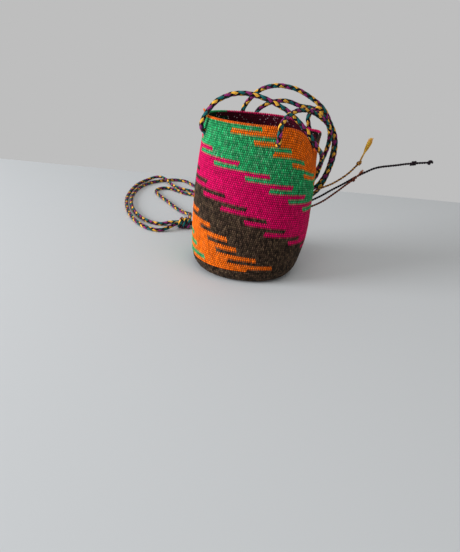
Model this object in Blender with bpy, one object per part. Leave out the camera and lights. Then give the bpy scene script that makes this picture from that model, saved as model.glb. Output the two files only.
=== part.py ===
"""Small crocheted drawstring bag with braided cords, standing upright on a flat surface.

Metres, +Z up. The origin is in the middle of the flat base, and the bag's front faces -Y.
Blender runs it from its text editor, or with blender --background --python part.py
"""

import math

import bmesh
import bpy
from mathutils import Vector

# Driving dimensions of the bag
BAG_HEIGHT = 0.156
BAG_WIDTH = 0.122
BAG_DEPTH = 0.102
WALL = 0.0024
BASE_BAND_HEIGHT = 0.0133
EDGING_HEIGHT = 0.0034
EDGING_WIDTH = 0.0034
RIM_DIP = 0.025
CORNER_DIP = 0.008
GAP = 0.0003

# Driving dimensions of the cords
CORD = 0.004
TAIL = 0.0022
EYELET = 0.0056
EYELET_DROP = 0.0175
CORD_SPACING = 0.00455

# Gathering knot behind the bag: cords side by side, bound with thin cord
BUNDLE_X = 0.0542
BUNDLE_Y = 0.0410
BUNDLE_BOTTOM = 0.037
BUNDLE_LENGTH = 0.016
BUNDLE_RADIUS = 0.0067
BINDING = 0.0022
BINDING_PITCH = 0.0028
BINDING_LOOPS = 5
TAIL_RING_RADIUS = 0.0052
STRAP_RING_RADIUS = 0.0027

# Keeper wrap round the two strap strands, where it lies on the table
WRAP_X = -0.080
WRAP_Y = 0.082
WRAP_PITCH = 0.0052
WRAP_LOOPS = 2.5
WRAP_HEADING = 7.0
STRAND_SPACING = 0.0046
STRAND_PLACES = (0.009, 0.020, 0.031)

# Small knots and tufts
TAIL_KNOT_RADIUS = 0.0026
STOPPER_RADIUS = 0.0046
TASSEL_RADIUS = 0.0030
TUFT_RADIUS = 0.0018

# Counts
WALL_SEGMENTS = 48
EDGING_SIDES = 6
LOOP_POINTS = 24
CUTTER_SIDES = 12

MM = 0.001
SQUARENESS = 2.2

# Height as a share of BAG_HEIGHT, then half width and sideways shift as shares of BAG_WIDTH,
# half depth and backward shift as shares of BAG_DEPTH
STATION_SHARES = [
    (0.00, 0.385, -0.020, 0.422, -0.010),
    (0.02, 0.422, -0.019, 0.461, -0.010),
    (0.06, 0.459, -0.016, 0.490, 0.000),
    (0.13, 0.480, -0.012, 0.500, 0.000),
    (0.28, 0.500, 0.000, 0.490, 0.000),
    (0.50, 0.500, 0.000, 0.451, 0.010),
    (0.70, 0.488, 0.004, 0.412, 0.020),
    (0.85, 0.470, 0.004, 0.382, 0.020),
    (1.00, 0.455, 0.005, 0.363, 0.020),
]
WALL_ROW_SHARES = (0.13, 0.20, 0.28, 0.39, 0.50, 0.60, 0.70, 0.78, 0.85, 0.92)
DIP_ANGLE = -18.0
DIP_SPREAD = 24.5
CORNER_ANGLE = 31.0
CORNER_SPREAD = 21.0
DIP_START_SHARE = 0.45
FLARE_ANGLE = 14.0
FLARE_SPREAD = 13.0
FLARE_SHARE = 0.11
FLARE_START_SHARE = 0.60

# Eyelets: place round the bag in degrees, and upward tilt of the hole from level
EYELETS = {
    "left": (199.0, 42.0),
    "back_left": (109.5, 42.0),
    "back": (95.0, 42.0),
    "front": (284.0, 42.0),
    "back_right": (36.0, 42.0),
}

# Cord routes in millimetres, chosen by hand
LOOP_A_ROUTE = [
    (53.5, 34, 66), (59.5, 31, 80.5), (62.5, 27, 92), (65, 22, 100), (65.5, 16.5, 108.5),
    (65.5, 10, 117), (64, 3, 124), (60.8, -5, 130), (57, -12, 134), (53.5, -16.5, 138),
    (48, -17, 145), (43, -15.5, 150.5), (38.5, -14, 154), (34.5, -12.5, 157.5), (28, -11.5, 162),
    (22.5, -11, 166), (14.5, -10.5, 169.5), (7, -10, 172.5), (-1, -10, 175), (-8.5, -10, 176.5),
    (-16, -10, 177.5), (-24.5, -10.5, 177), (-31.5, -11, 175.5), (-38, -12, 172.5),
    (-44, -13.5, 169), (-48.5, -15, 164), (-52, -16, 159), (-55, -16.2, 153), (-57, -15, 147.5),
]
INSIDE_LEFT_ROUTE = [
    (-45.6, -5.5, 131.8), (-45.8, 1.5, 130.8), (-46, 9.5, 130.8), (-43, 17, 130.8),
    (-36, 23, 130.6), (-27, 26.6, 131.2),
]
LOOP_B_ROUTE = [
    (-20.8, 43.6, 148.5), (-20.2, 43.2, 154), (-18.5, 42.5, 159), (-15.5, 41.5, 164.5),
    (-12, 41, 169), (-7.5, 40, 174), (-3, 39.5, 177.5), (2, 39, 180), (9, 38.5, 182),
    (16, 38, 183), (23, 38, 182.5), (30.5, 38, 181.5), (37, 38, 179.5), (44, 38, 176.5),
    (50, 38, 173.5), (56, 38, 170), (61.5, 38, 166), (66, 38, 161.5), (69.5, 38, 156),
    (73.5, 38, 150), (77.5, 38, 144), (80.5, 38, 137), (82.5, 39, 128), (83, 40.5, 118.5),
    (82.5, 42.5, 109), (81, 44.5, 99.5), (79, 46.5, 89.5), (76, 47.5, 81), (71, 47.5, 73.5),
    (62, 46, 66),
]
LOOP_D_ROUTE = [
    (52.5, 38.6, 70), (57.5, 38, 82), (61.5, 37.5, 90), (65.5, 36.5, 97.5), (68, 35, 106),
    (70, 33, 114), (71.5, 30, 123), (72.5, 27, 133), (71.8, 24, 142.5), (69.5, 21, 149.5),
    (64.5, 17, 155.5), (60, 14, 158.5), (55.5, 11, 161.5), (50.5, 7.5, 164), (45, 3, 166.5),
    (38, -3.5, 167.5), (34, -8, 167.5), (30, -13, 167), (26.5, -18, 165.5), (23, -23, 164),
    (20.5, -28, 162), (18, -33.5, 159.5), (16.2, -38, 156), (15.8, -41, 151), (16, -41.2, 146.5),
]
INSIDE_RIGHT_ROUTE = [
    (18.8, -25.8, 131.2), (27.5, -23.6, 128.8), (37, -19.5, 125.6), (44, -12, 121),
    (47.2, -2, 117.5), (45.4, 9, 116), (38.5, 17.5, 116.8), (29.5, 23.5, 120.5),
    (18, 27.4, 126), (6, 28.6, 130), (-2, 30, 132),
]
LOOP_C_ROUTE = [
    (-5.8, 44, 148.5), (-5.4, 44.4, 154), (-3, 44.6, 158), (0.5, 45, 160.5), (5, 45.5, 163.5),
    (10.5, 46, 166), (17.5, 46.5, 167.5), (23, 47, 168), (28, 47.5, 167.5), (33.5, 47.5, 166),
    (39, 47.5, 164.5), (44.5, 47.5, 164), (49.5, 47.5, 164), (54.5, 47.5, 163),
    (58.5, 47.5, 161.5), (63.5, 47.5, 159), (67.5, 47.5, 156), (71, 47.5, 152), (75, 47.5, 146.5),
    (78.5, 48, 141), (81, 48.5, 133.5), (82.5, 49.5, 125), (82.5, 50.5, 116), (82, 51.5, 107),
    (80.5, 53, 97), (77.5, 54.5, 87.5), (72, 55, 78.5), (63, 54, 72), (53, 49.5, 67),
]
SIDE_CORD_ROUTE = [
    (55.5, 42, 69), (60, 43, 81.5), (65.5, 42.5, 94), (69.5, 40.5, 106), (72, 40, 116.5),
    (73.5, 39.5, 123.5), (74, 36.5, 134), (72.5, 34.5, 144.5), (69.5, 33, 150.5),
    (67.5, 34, 154.5), (62.5, 31.5, 164.5), (55.5, 29.5, 166.5), (49.5, 28, 163),
    (47, 28.5, 156.5), (49.5, 31, 148.5), (51, 30.5, 144),
]
STRAP_OUT_ROUTE = [
    (52, 47, 23), (45, 58, 10), (34, 74, 3), (17, 100, 2.1), (0, 130, 2.1), (-20, 162, 2.1),
    (-43, 190, 2.1), (-66, 212, 2.1), (-90, 226, 2.1), (-103, 230, 2.1), (-116, 239, 2.2),
    (-126, 251, 3.5), (-135, 262, 5.8), (-144, 268, 6.5), (-153, 269, 5.2), (-162, 262, 3),
    (-170, 245, 2.1), (-175, 220, 2.1), (-176, 195, 2.1), (-174, 165, 2.1), (-168, 138, 2.1),
    (-159, 112, 2.1), (-147, 89, 2.1), (-133, 71, 2.1), (-119, 61, 2.1), (-106, 60, 2.8),
    (-97, 67, 4.6),
]
STRAP_BIGHT_ROUTE = [
    (-37, 84, 3.5), (-24, 83.5, 2.1), (-12, 87.5, 2.1), (-5, 96.5, 2.1), (-7.5, 107, 2.1),
    (-17.5, 111, 2.1), (-28, 106, 2.1), (-38.5, 95, 3.5),
]
STRAP_BACK_ROUTE = [
    (-98.5, 82.5, 4.8), (-109, 80, 2.6), (-122, 82.5, 2.1), (-135, 92, 2.1), (-149, 111, 2.1),
    (-160, 135, 2.1), (-167, 162, 2.1), (-169.5, 190, 2.1), (-168, 212, 2.1), (-163, 232, 2.1),
    (-155, 248, 2.1), (-145, 260, 2.1), (-132, 270, 2.1), (-118, 275, 2.1), (-103, 272, 2.1),
    (-90, 256, 2.1), (-71, 238, 2.1), (-46, 213, 2.1), (-24, 185, 2.1), (-3, 156, 2.1),
    (15, 128, 2.1), (32, 101, 2.1), (47, 77, 3), (57, 60, 10), (60.5, 48, 22),
]
KEEPER_ROUTE = [
    (49, 43, 22), (40, 54, 9.5), (27, 71, 3), (8, 97, 2.1), (-10, 127, 2.1), (-30, 157, 2.1),
    (-52, 183, 2.1), (-70, 199, 2.1), (-84, 207, 2.1), (-97, 211, 2.1), (-109, 219, 2.1),
    (-120, 226, 2.1), (-130, 227, 2.1), (-138, 220, 2.1), (-140.5, 209, 2.1), (-136, 197, 2.1),
    (-128, 184, 2.1), (-117, 169, 2.1), (-107, 154, 2.1), (-97, 140, 2.1), (-91, 132.8, 2.5),
]
KEEPER_LEAD_ROUTE = [(-87, 128, 3), (-82.6, 122.6, 4.4), (-79, 117, 6), (-76, 107, 9.6)]
YELLOW_TAIL_ROUTE = [
    (61.5, 40.6, 66), (67, 40.5, 74), (74, 40.5, 80.5), (86, 41, 87), (93, 41.5, 92),
    (101, 42, 99), (106, 42, 105),
]
BLACK_TAIL_ROUTE = [
    (61.5, 37.6, 62.5), (69, 38.6, 68), (77, 39.3, 73), (87, 40, 80.5), (98, 40.6, 88),
    (106, 41, 94), (114, 41, 100), (122, 41.5, 105), (129, 42, 109), (136, 42, 111.5),
    (145, 42, 113.5), (152, 42, 115), (160, 42, 117),
]
BROWN_TAIL_ROUTE = [
    (60.5, 34.6, 58), (68, 34.4, 61.5), (79, 34.6, 68.5), (87, 35, 75.5), (93.5, 35.3, 81.8),
    (100.4, 35.5, 88.9),
]
YELLOW_KNOT_AT = (111.6, 42, 113)
YELLOW_TASSEL_TO = (118.8, 42, 139)
BLACK_KNOT_AT = (169.5, 42, 119)
BLACK_END_AT = (186.5, 42, 121.6)
BROWN_KNOT_AT = (108.3, 35.8, 96.5)
BROWN_TUFT_TO = (116.3, 36.2, 107)

COLOURS = {
    "bag_base": (0.055, 0.036, 0.020),
    "bag_wall": (0.620, 0.010, 0.190),
    "rim_edging": (0.700, 0.170, 0.030),
    "braid": (0.240, 0.110, 0.080),
    "dark": (0.020, 0.012, 0.018),
    "yellow": (0.600, 0.330, 0.060),
    "brown": (0.180, 0.060, 0.030),
}


def clear_scene():
    for old in list(bpy.data.objects):
        bpy.data.objects.remove(old, do_unlink=True)


def material(name, colour):
    made = bpy.data.materials.get(name)
    if made is None:
        made = bpy.data.materials.new(name)
        made.use_nodes = True
        shader = made.node_tree.nodes["Principled BSDF"]
        shader.inputs["Base Color"].default_value = (*colour, 1.0)
        shader.inputs["Roughness"].default_value = 0.85
        shader.inputs["Metallic"].default_value = 0.0
    return made


def place(name, data, colour):
    thing = bpy.data.objects.new(name, data)
    bpy.context.scene.collection.objects.link(thing)
    thing.data.materials.append(material(name + "_yarn", COLOURS[colour]))
    return thing


# Bag surface


def station(share):
    """Half width, shift, half depth and shift at a share of the height, on a smooth curve."""
    rows = STATION_SHARES
    last = len(rows) - 2
    low = max(i for i in range(len(rows) - 1) if rows[i][0] <= share or i == 0)
    low = min(low, last)
    a, b = rows[low], rows[low + 1]
    before, after = rows[max(low - 1, 0)], rows[min(low + 2, last + 1)]
    span = b[0] - a[0]
    u = (share - a[0]) / span
    values = []
    for k in range(1, 5):
        slope_a = (b[k] - before[k]) / (b[0] - before[0])
        slope_b = (after[k] - a[k]) / (after[0] - a[0])
        values.append(
            (1 + 2 * u) * (1 - u) ** 2 * a[k]
            + u * (1 - u) ** 2 * span * slope_a
            + u * u * (3 - 2 * u) * b[k]
            + u * u * (u - 1) * span * slope_b
        )
    half_width, shift_x, half_depth, shift_y = values
    return half_width * BAG_WIDTH, shift_x * BAG_WIDTH, half_depth * BAG_DEPTH, shift_y * BAG_DEPTH


def bell(angle, centre, spread):
    away = (angle - centre + 180.0) % 360.0 - 180.0
    return math.exp(-((away / spread) ** 2))


def past(share, start):
    return max(0.0, (share - start) / (1.0 - start)) ** 2


def signed_power(value, power):
    return math.copysign(abs(value) ** power, value)


def wall_point(height, angle, outward=0.0):
    """A point of the bag's outer surface, at a height before the rim dips, and an angle from +X."""
    share = height / BAG_HEIGHT
    half_width, shift_x, half_depth, shift_y = station(share)
    flare = 1.0 + FLARE_SHARE * bell(angle, FLARE_ANGLE, FLARE_SPREAD) * past(share, FLARE_START_SHARE)
    turn = math.radians(angle)
    x = signed_power(math.cos(turn), 2 / SQUARENESS)
    y = signed_power(math.sin(turn), 2 / SQUARENESS)
    dip = RIM_DIP * bell(angle, DIP_ANGLE, DIP_SPREAD)
    dip += CORNER_DIP * bell(angle, CORNER_ANGLE, CORNER_SPREAD)
    return Vector(
        (
            shift_x + (half_width * flare + outward) * x,
            shift_y + (half_depth * flare + outward) * y,
            height - dip * past(share, DIP_START_SHARE),
        )
    )


def wall_ring(height, outward=0.0):
    step = 360.0 / WALL_SEGMENTS
    return [wall_point(height, i * step, outward) for i in range(WALL_SEGMENTS)]


def mesh_from_rings(name, rings, closed_way=False):
    """Skin rings of equal length, and close both ends with one flat face or the last to the first."""
    model = bmesh.new()
    rows = [[model.verts.new(p) for p in ring] for ring in rings]
    pairs = list(zip(rows, rows[1:]))
    if closed_way:
        pairs.append((rows[-1], rows[0]))
    for lower, upper in pairs:
        count = len(lower)
        for i in range(count):
            j = (i + 1) % count
            model.faces.new((lower[i], lower[j], upper[j], upper[i]))
    if not closed_way:
        model.faces.new(list(reversed(rows[0])))
        model.faces.new(rows[-1])
    bmesh.ops.recalc_face_normals(model, faces=model.faces)
    data = bpy.data.meshes.new(name)
    model.to_mesh(data)
    model.free()
    data.shade_smooth()
    data.set_sharp_from_angle(angle=math.radians(40))
    return data


def make_base():
    """Flat oval foot with a rounded lower edge, up to the base band's top."""
    share_heights = [0.0, 0.02, 0.06]
    outer = [wall_ring(s * BAG_HEIGHT) for s in share_heights] + [wall_ring(BASE_BAND_HEIGHT)]
    floor = [Vector((p.x, p.y, WALL)) for p in wall_ring(share_heights[1] * BAG_HEIGHT, -WALL)]
    inner = [wall_ring(BASE_BAND_HEIGHT, -WALL), wall_ring(share_heights[2] * BAG_HEIGHT, -WALL), floor]
    place("bag_base", mesh_from_rings("bag_base", outer + inner), "bag_base")


def wall_top():
    return BAG_HEIGHT - EDGING_HEIGHT - 2 * GAP


def eyelet_frame(name):
    """Middle of an eyelet in the wall's thickness, and its axis, out of the bag and upwards."""
    angle, tilt = EYELETS[name]
    height = BAG_HEIGHT - EYELET_DROP
    middle = wall_point(height, angle, -WALL / 2)
    along = wall_point(height, angle + 1.0) - wall_point(height, angle - 1.0)
    level = Vector((along.y, -along.x, 0.0)).normalized()
    rise = math.radians(tilt)
    return middle, level * math.cos(rise) + Vector((0.0, 0.0, math.sin(rise)))


def make_wall():
    heights = [BASE_BAND_HEIGHT + GAP] + [s * BAG_HEIGHT for s in WALL_ROW_SHARES] + [wall_top()]
    outer = [wall_ring(h) for h in heights]
    inner = [wall_ring(h, -WALL) for h in reversed(heights)]
    wall = place("bag_wall", mesh_from_rings("bag_wall", outer + inner, closed_way=True), "bag_wall")
    for name in EYELETS:
        middle, axis = eyelet_frame(name)
        bpy.ops.mesh.primitive_cylinder_add(
            vertices=CUTTER_SIDES,
            radius=EYELET / 2,
            depth=6 * WALL,
            location=middle,
            rotation=axis.to_track_quat("Z", "Y").to_euler(),
        )
        cutter = bpy.context.object
        cutter.name = "cutter_" + name
        cutter.hide_render = True
        cutter.display_type = "WIRE"
        cut = wall.modifiers.new("eyelet_" + name, "BOOLEAN")
        cut.operation = "DIFFERENCE"
        cut.object = cutter


def make_edging():
    rings = []
    for i in range(EDGING_SIDES):
        turn = 2 * math.pi * i / EDGING_SIDES
        flat = math.cos(math.pi / EDGING_SIDES)
        out = math.cos(turn) * EDGING_WIDTH / 2
        up = math.sin(turn) * EDGING_HEIGHT / 2 / flat
        rings.append((out, up))
    rows = []
    step = 360.0 / WALL_SEGMENTS
    for i in range(WALL_SEGMENTS):
        middle = wall_point(wall_top(), i * step, -WALL / 2)
        wide = wall_point(wall_top(), i * step, -WALL / 2 + EDGING_WIDTH) - middle
        lift = 2 * GAP + EDGING_HEIGHT / 2
        rows.append(
            [middle + wide * (out / EDGING_WIDTH) + Vector((0, 0, lift + up)) for out, up in rings]
        )
    place("rim_edging", mesh_from_rings("rim_edging", rows, closed_way=True), "rim_edging")


# Cords


def metres(points):
    return [Vector(p) * MM for p in points]


def smooth_route(points, longest):
    """Points of a centripetal curve through the route's own, with more where they lie far apart."""
    ends = [points[0] * 2 - points[1]] + points + [points[-1] * 2 - points[-2]]
    path = []
    for i in range(1, len(points)):
        p0, p1, p2, p3 = ends[i - 1 : i + 3]
        t1 = (p1 - p0).length ** 0.5
        t2 = t1 + (p2 - p1).length ** 0.5
        t3 = t2 + (p3 - p2).length ** 0.5
        pieces = max(1, math.ceil((p2 - p1).length / longest))
        for k in range(pieces):
            t = t1 + (t2 - t1) * k / pieces
            a1 = p0 * ((t1 - t) / t1) + p1 * (t / t1)
            a2 = p1 * ((t2 - t) / (t2 - t1)) + p2 * ((t - t1) / (t2 - t1))
            a3 = p2 * ((t3 - t) / (t3 - t2)) + p3 * ((t - t2) / (t3 - t2))
            b1 = a1 * ((t2 - t) / t2) + a2 * (t / t2)
            b2 = a2 * ((t3 - t) / (t3 - t1)) + a3 * ((t - t1) / (t3 - t1))
            path.append(b1 * ((t2 - t) / (t2 - t1)) + b2 * ((t - t1) / (t2 - t1)))
    return path + [points[-1]]


def make_tube(name, path, diameter, colour, sides_step):
    data = bpy.data.curves.new(name, "CURVE")
    data.dimensions = "3D"
    data.bevel_depth = diameter / 2
    data.bevel_resolution = sides_step
    data.use_fill_caps = True
    spline = data.splines.new("POLY")
    spline.points.add(len(path) - 1)
    for point, place_at in zip(spline.points, path):
        point.co = (*place_at, 1.0)
    return place(name, data, colour)


def least_gap(path, diameter, apart):
    """Least clear distance between stretches of one tube that lie some points apart."""
    nearest = min(
        (path[i] - path[j]).length for i in range(len(path)) for j in range(i + apart, len(path))
    )
    return nearest - diameter


def bundle_top():
    return BUNDLE_BOTTOM + BUNDLE_LENGTH


def bundle_point(radius, angle, height):
    turn = math.radians(angle)
    return Vector((BUNDLE_X + radius * math.cos(turn), BUNDLE_Y + radius * math.sin(turn), height))


def top_end(radius, angle, diameter):
    """Two points, from the bundle's upper face straight up for a little over one diameter."""
    start = bundle_top() + GAP
    return [bundle_point(radius, angle, start), bundle_point(radius, angle, start + 1.4 * diameter)]


def bottom_end(angle):
    start = BUNDLE_BOTTOM - GAP
    return [
        bundle_point(STRAP_RING_RADIUS, angle, start),
        bundle_point(STRAP_RING_RADIUS, angle, start - 1.3 * CORD),
    ]


def through_eyelet(name):
    """Points of a cord on its way through an eyelet, from outside to inside."""
    middle, axis = eyelet_frame(name)
    return [middle + axis * (CORD * share) for share in (1.5, 0.5, -0.5, -1.5)]


def make_mouth_cords():
    longest = 6 * CORD
    left = top_end(CORD_SPACING, 255, CORD) + metres(LOOP_A_ROUTE) + through_eyelet("left")
    left += metres(INSIDE_LEFT_ROUTE) + through_eyelet("back_left")[::-1] + metres(LOOP_B_ROUTE)
    left += top_end(CORD_SPACING, 75, CORD)[::-1]
    make_tube("mouth_cord_left", smooth_route(left, longest), CORD, "braid", 2)
    right = top_end(CORD_SPACING, 195, CORD) + metres(LOOP_D_ROUTE) + through_eyelet("front")
    right += metres(INSIDE_RIGHT_ROUTE) + through_eyelet("back")[::-1] + metres(LOOP_C_ROUTE)
    right += top_end(CORD_SPACING, 135, CORD)[::-1]
    make_tube("mouth_cord_right", smooth_route(right, longest), CORD, "braid", 2)


def make_side_cord():
    """A cord from the bundle into the bag, held by a stopper knot against the wall's inside."""
    middle, axis = eyelet_frame("back_right")
    stopper = middle - axis * (2.3 * CORD)
    end = stopper + axis * (STOPPER_RADIUS + GAP)
    inner = [middle + axis * (CORD * share) for share in (1.5, 0.5, -0.5)] + [end]
    side = top_end(0.0, 0, CORD) + metres(SIDE_CORD_ROUTE) + inner
    make_tube("side_cord", smooth_route(side, 6 * CORD), CORD, "braid", 2)
    knot("side_cord_knot", stopper, axis, STOPPER_RADIUS, "braid")


def wrap_frame():
    """Middle of the keeper wrap, its axis along the strands, and the level way across them."""
    turn = math.radians(WRAP_HEADING)
    along = Vector((math.cos(turn), math.sin(turn), 0.0))
    across = Vector((-math.sin(turn), math.cos(turn), 0.0))
    middle = Vector((WRAP_X, WRAP_Y, wrap_reach() + CORD / 2 + GAP / 2))
    return middle, along, across


def wrap_reach():
    """From the middle of a strand to the middle of the cord wound round it."""
    return CORD + 1.6 * GAP


def wrap_loop_point(turns):
    """Across and up, on the winding's line round both strands, from its top towards the front."""
    reach = wrap_reach()
    straight = STRAND_SPACING
    bend = math.pi * reach
    along = (turns % 1.0) * 2 * (straight + bend)
    if along < straight / 2:
        return -along, reach
    along -= straight / 2
    if along < bend:
        turn = math.pi / 2 + along / reach
        return -straight / 2 + reach * math.cos(turn), reach * math.sin(turn)
    along -= bend
    if along < straight:
        return -straight / 2 + along, -reach
    along -= straight
    if along < bend:
        turn = -math.pi / 2 + along / reach
        return straight / 2 + reach * math.cos(turn), reach * math.sin(turn)
    return straight / 2 - (along - bend), reach


def beside_wrap(along_by, across_by, up_by=0.0):
    middle, along, across = wrap_frame()
    return middle + along * along_by + across * across_by + Vector((0.0, 0.0, up_by))


def make_strap():
    """One cord: out along the table, through the wrap, a bight behind the bag and back again."""
    side = STRAND_SPACING / 2
    low = -CORD / 8
    near, between, far = STRAND_PLACES
    first = [beside_wrap(-near, -side, low), beside_wrap(0, -side), beside_wrap(near, -side)]
    first += [beside_wrap(between, -side), beside_wrap(far, -side, low)]
    second = [beside_wrap(far, side, low), beside_wrap(between, side), beside_wrap(near, side)]
    second += [beside_wrap(0, side), beside_wrap(-near, side, low)]
    route = bottom_end(90) + metres(STRAP_OUT_ROUTE) + first + metres(STRAP_BIGHT_ROUTE) + second
    route += metres(STRAP_BACK_ROUTE) + list(reversed(bottom_end(330)))
    make_tube("shoulder_strap", smooth_route(route, 7 * CORD), CORD, "braid", 2)


def keeper_start():
    """Where the keeper cord meets the wrap: above the strands, on their far side."""
    return beside_wrap(WRAP_PITCH * WRAP_LOOPS / 2, 1.1 * CORD, wrap_reach())


def make_keeper():
    """A cord from the bundle, its last stretch that moves with the wrap, and the wrap."""
    middle, along, across = wrap_frame()
    end = keeper_start() + across * GAP
    lead = metres(KEEPER_LEAD_ROUTE) + [end + across * 1.3 * CORD, end]
    route = bottom_end(210) + metres(KEEPER_ROUTE)
    way = (lead[0] - route[-1]).normalized()
    make_tube("keeper_cord", smooth_route(route, 6 * CORD) + [lead[0] - way * GAP], CORD, "braid", 2)
    make_tube("keeper_lead", smooth_route(lead, 6 * CORD), CORD, "braid", 2)
    path = [keeper_start()]
    for i in range(round(WRAP_LOOPS * LOOP_POINTS) + 1):
        turns = i / LOOP_POINTS
        across_by, up_by = wrap_loop_point(turns)
        path.append(beside_wrap(WRAP_PITCH * (WRAP_LOOPS / 2 - turns), across_by, up_by))
    path.append(path[-1] + across * 1.1 * CORD)
    print("keeper_wrap least gap to itself, mm:", round(least_gap(path, CORD, 8) / MM, 2))
    make_tube("keeper_wrap", path, CORD, "braid", 1)


def make_bundle():
    """The cords pressed together where they are bound, and the thin cord that binds them."""
    corner = BINDING / 2
    profile = [(BUNDLE_RADIUS - corner, BUNDLE_BOTTOM), (BUNDLE_RADIUS, BUNDLE_BOTTOM + corner)]
    profile += [(BUNDLE_RADIUS, bundle_top() - corner), (BUNDLE_RADIUS - corner, bundle_top())]
    rings = []
    for radius, height in profile:
        rings.append([bundle_point(radius, 360.0 * i / LOOP_POINTS, height) for i in range(LOOP_POINTS)])
    place("cord_bundle", mesh_from_rings("cord_bundle", rings), "braid")
    radius = BUNDLE_RADIUS + GAP + BINDING / 2
    count = BINDING_LOOPS * LOOP_POINTS
    first = BUNDLE_BOTTOM + (BUNDLE_LENGTH - BINDING_PITCH * BINDING_LOOPS) / 2
    path = []
    for i in range(count + 1):
        angle = 360.0 * i / LOOP_POINTS
        path.append(bundle_point(radius, angle, first + BINDING_PITCH * i / LOOP_POINTS))
    path = [path[0] + (path[0] - path[1]).normalized() * BINDING] + path
    path.append(path[-1] + (path[-1] - path[-2]).normalized() * BINDING)
    print("bundle_binding least gap to itself, mm:", round(least_gap(path, BINDING, 8) / MM, 2))
    make_tube("bundle_binding", path, BINDING, "dark", 1)


def spindle(name, start, end, widths, colour, sides=10):
    """A round body turned about the line from start to end, with radii at even steps along it."""
    axis = end - start
    across = axis.normalized().orthogonal().normalized()
    other = axis.normalized().cross(across)
    rings = []
    for k, width in enumerate(widths):
        middle = start + axis * (k / (len(widths) - 1))
        rings.append(
            [
                middle + (across * math.cos(t) + other * math.sin(t)) * width
                for t in (2 * math.pi * i / sides for i in range(sides))
            ]
        )
    place(name, mesh_from_rings(name, rings), colour)


def knot(name, middle, axis, radius, colour):
    """A small pulled knot, a little longer than thick."""
    half = axis.normalized() * radius
    shares = (0.45, 0.85, 1.0, 0.85, 0.45)
    spindle(name, middle - half, middle + half, [radius * s for s in shares], colour)


def tail_route(angle, route, knot_at):
    """A tail from the bundle to its knot, and the way that it enters the knot."""
    points = top_end(TAIL_RING_RADIUS, angle, TAIL) + metres(route)
    way = (knot_at - points[-1]).normalized()
    end = knot_at - way * (TAIL_KNOT_RADIUS + GAP)
    return points + [end - way * 1.2 * TAIL, end], way


def make_tails():
    at = {
        "yellow_knot": metres([YELLOW_KNOT_AT])[0],
        "tassel_to": metres([YELLOW_TASSEL_TO])[0],
        "black_knot": metres([BLACK_KNOT_AT])[0],
        "black_end": metres([BLACK_END_AT])[0],
        "brown_knot": metres([BROWN_KNOT_AT])[0],
        "brown_tuft": metres([BROWN_TUFT_TO])[0],
    }
    reach = TAIL_KNOT_RADIUS + 2 * GAP
    tails = [
        ("yellow_tail", 8, YELLOW_TAIL_ROUTE, "yellow_knot", "yellow"),
        ("black_tail", -24, BLACK_TAIL_ROUTE, "black_knot", "dark"),
        ("brown_tail", -56, BROWN_TAIL_ROUTE, "brown_knot", "brown"),
    ]
    for name, angle, route, knot_name, colour in tails:
        points, way = tail_route(angle, route, at[knot_name])
        make_tube(name, smooth_route(points, 7 * TAIL), TAIL, colour, 2)
        knot(knot_name, at[knot_name], way, TAIL_KNOT_RADIUS, colour)
    brush = (at["tassel_to"] - at["yellow_knot"]).normalized()
    spindle(
        "yellow_tassel",
        at["yellow_knot"] + brush * reach,
        at["tassel_to"],
        [TASSEL_RADIUS * s for s in (0.35, 0.38, 0.42, 0.75, 0.95, 1.0, 0.9, 0.6)],
        "yellow",
    )
    link = (at["black_end"] - at["black_knot"]).normalized()
    path = [at["black_knot"] + link * reach, at["black_end"] - link * reach]
    path.insert(1, (path[0] + path[1]) / 2)
    make_tube("black_tail_tip", path, TAIL, "dark", 2)
    knot("black_end_knot", at["black_end"], link, TAIL_KNOT_RADIUS, "dark")
    way = (at["brown_tuft"] - at["brown_knot"]).normalized()
    start = at["brown_knot"] + way * reach
    spindle(
        "brown_tuft",
        start,
        at["brown_tuft"],
        [TUFT_RADIUS * s for s in (0.55, 0.5, 0.5, 0.55, 0.9, 1.0, 0.7)],
        "brown",
    )


clear_scene()
make_base()
make_wall()
make_edging()
make_mouth_cords()
make_side_cord()
make_bundle()
make_strap()
make_keeper()
make_tails()
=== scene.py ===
"""Looks of a small crocheted drawstring bag: fabric, braided cords, materials, light and camera.

Metres, +Z up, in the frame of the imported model. The bag's front faces -Y.
"""

import math
import random

import bpy
import numpy as np
from mathutils import Matrix, Vector


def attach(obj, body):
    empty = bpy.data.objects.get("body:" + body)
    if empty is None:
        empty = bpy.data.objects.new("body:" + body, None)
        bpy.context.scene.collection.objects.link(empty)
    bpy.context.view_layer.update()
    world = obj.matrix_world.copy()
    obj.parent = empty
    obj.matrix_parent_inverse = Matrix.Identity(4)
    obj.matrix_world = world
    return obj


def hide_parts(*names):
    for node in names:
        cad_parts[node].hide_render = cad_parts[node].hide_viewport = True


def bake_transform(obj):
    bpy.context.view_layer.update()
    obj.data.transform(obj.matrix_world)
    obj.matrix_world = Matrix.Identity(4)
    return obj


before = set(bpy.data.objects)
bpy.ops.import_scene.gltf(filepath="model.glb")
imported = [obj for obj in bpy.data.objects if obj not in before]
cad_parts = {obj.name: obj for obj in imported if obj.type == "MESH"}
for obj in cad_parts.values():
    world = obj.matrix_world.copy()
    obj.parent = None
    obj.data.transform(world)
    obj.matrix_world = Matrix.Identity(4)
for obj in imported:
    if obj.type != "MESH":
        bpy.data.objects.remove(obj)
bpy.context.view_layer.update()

MM = 0.001

# Camera: the photograph's place and tilt, with a slight roll
CAMERA_AT = (-0.01507, -0.4642, 0.22737)
CAMERA_DOWN = 28.0
CAMERA_ROLL = 6.0
CAMERA_LENS = 30.0
CAMERA_SENSOR = 36.0

# Surroundings: the sky's light, the wall's brightness in the picture, and the table's far edge
SKY_LIGHT = 0.36
WALL_LIGHT = 0.515
TABLE_REACH = 2.0
TABLE_FAR_LEFT = 0.252
TABLE_FAR_RIGHT = 0.372

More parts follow.
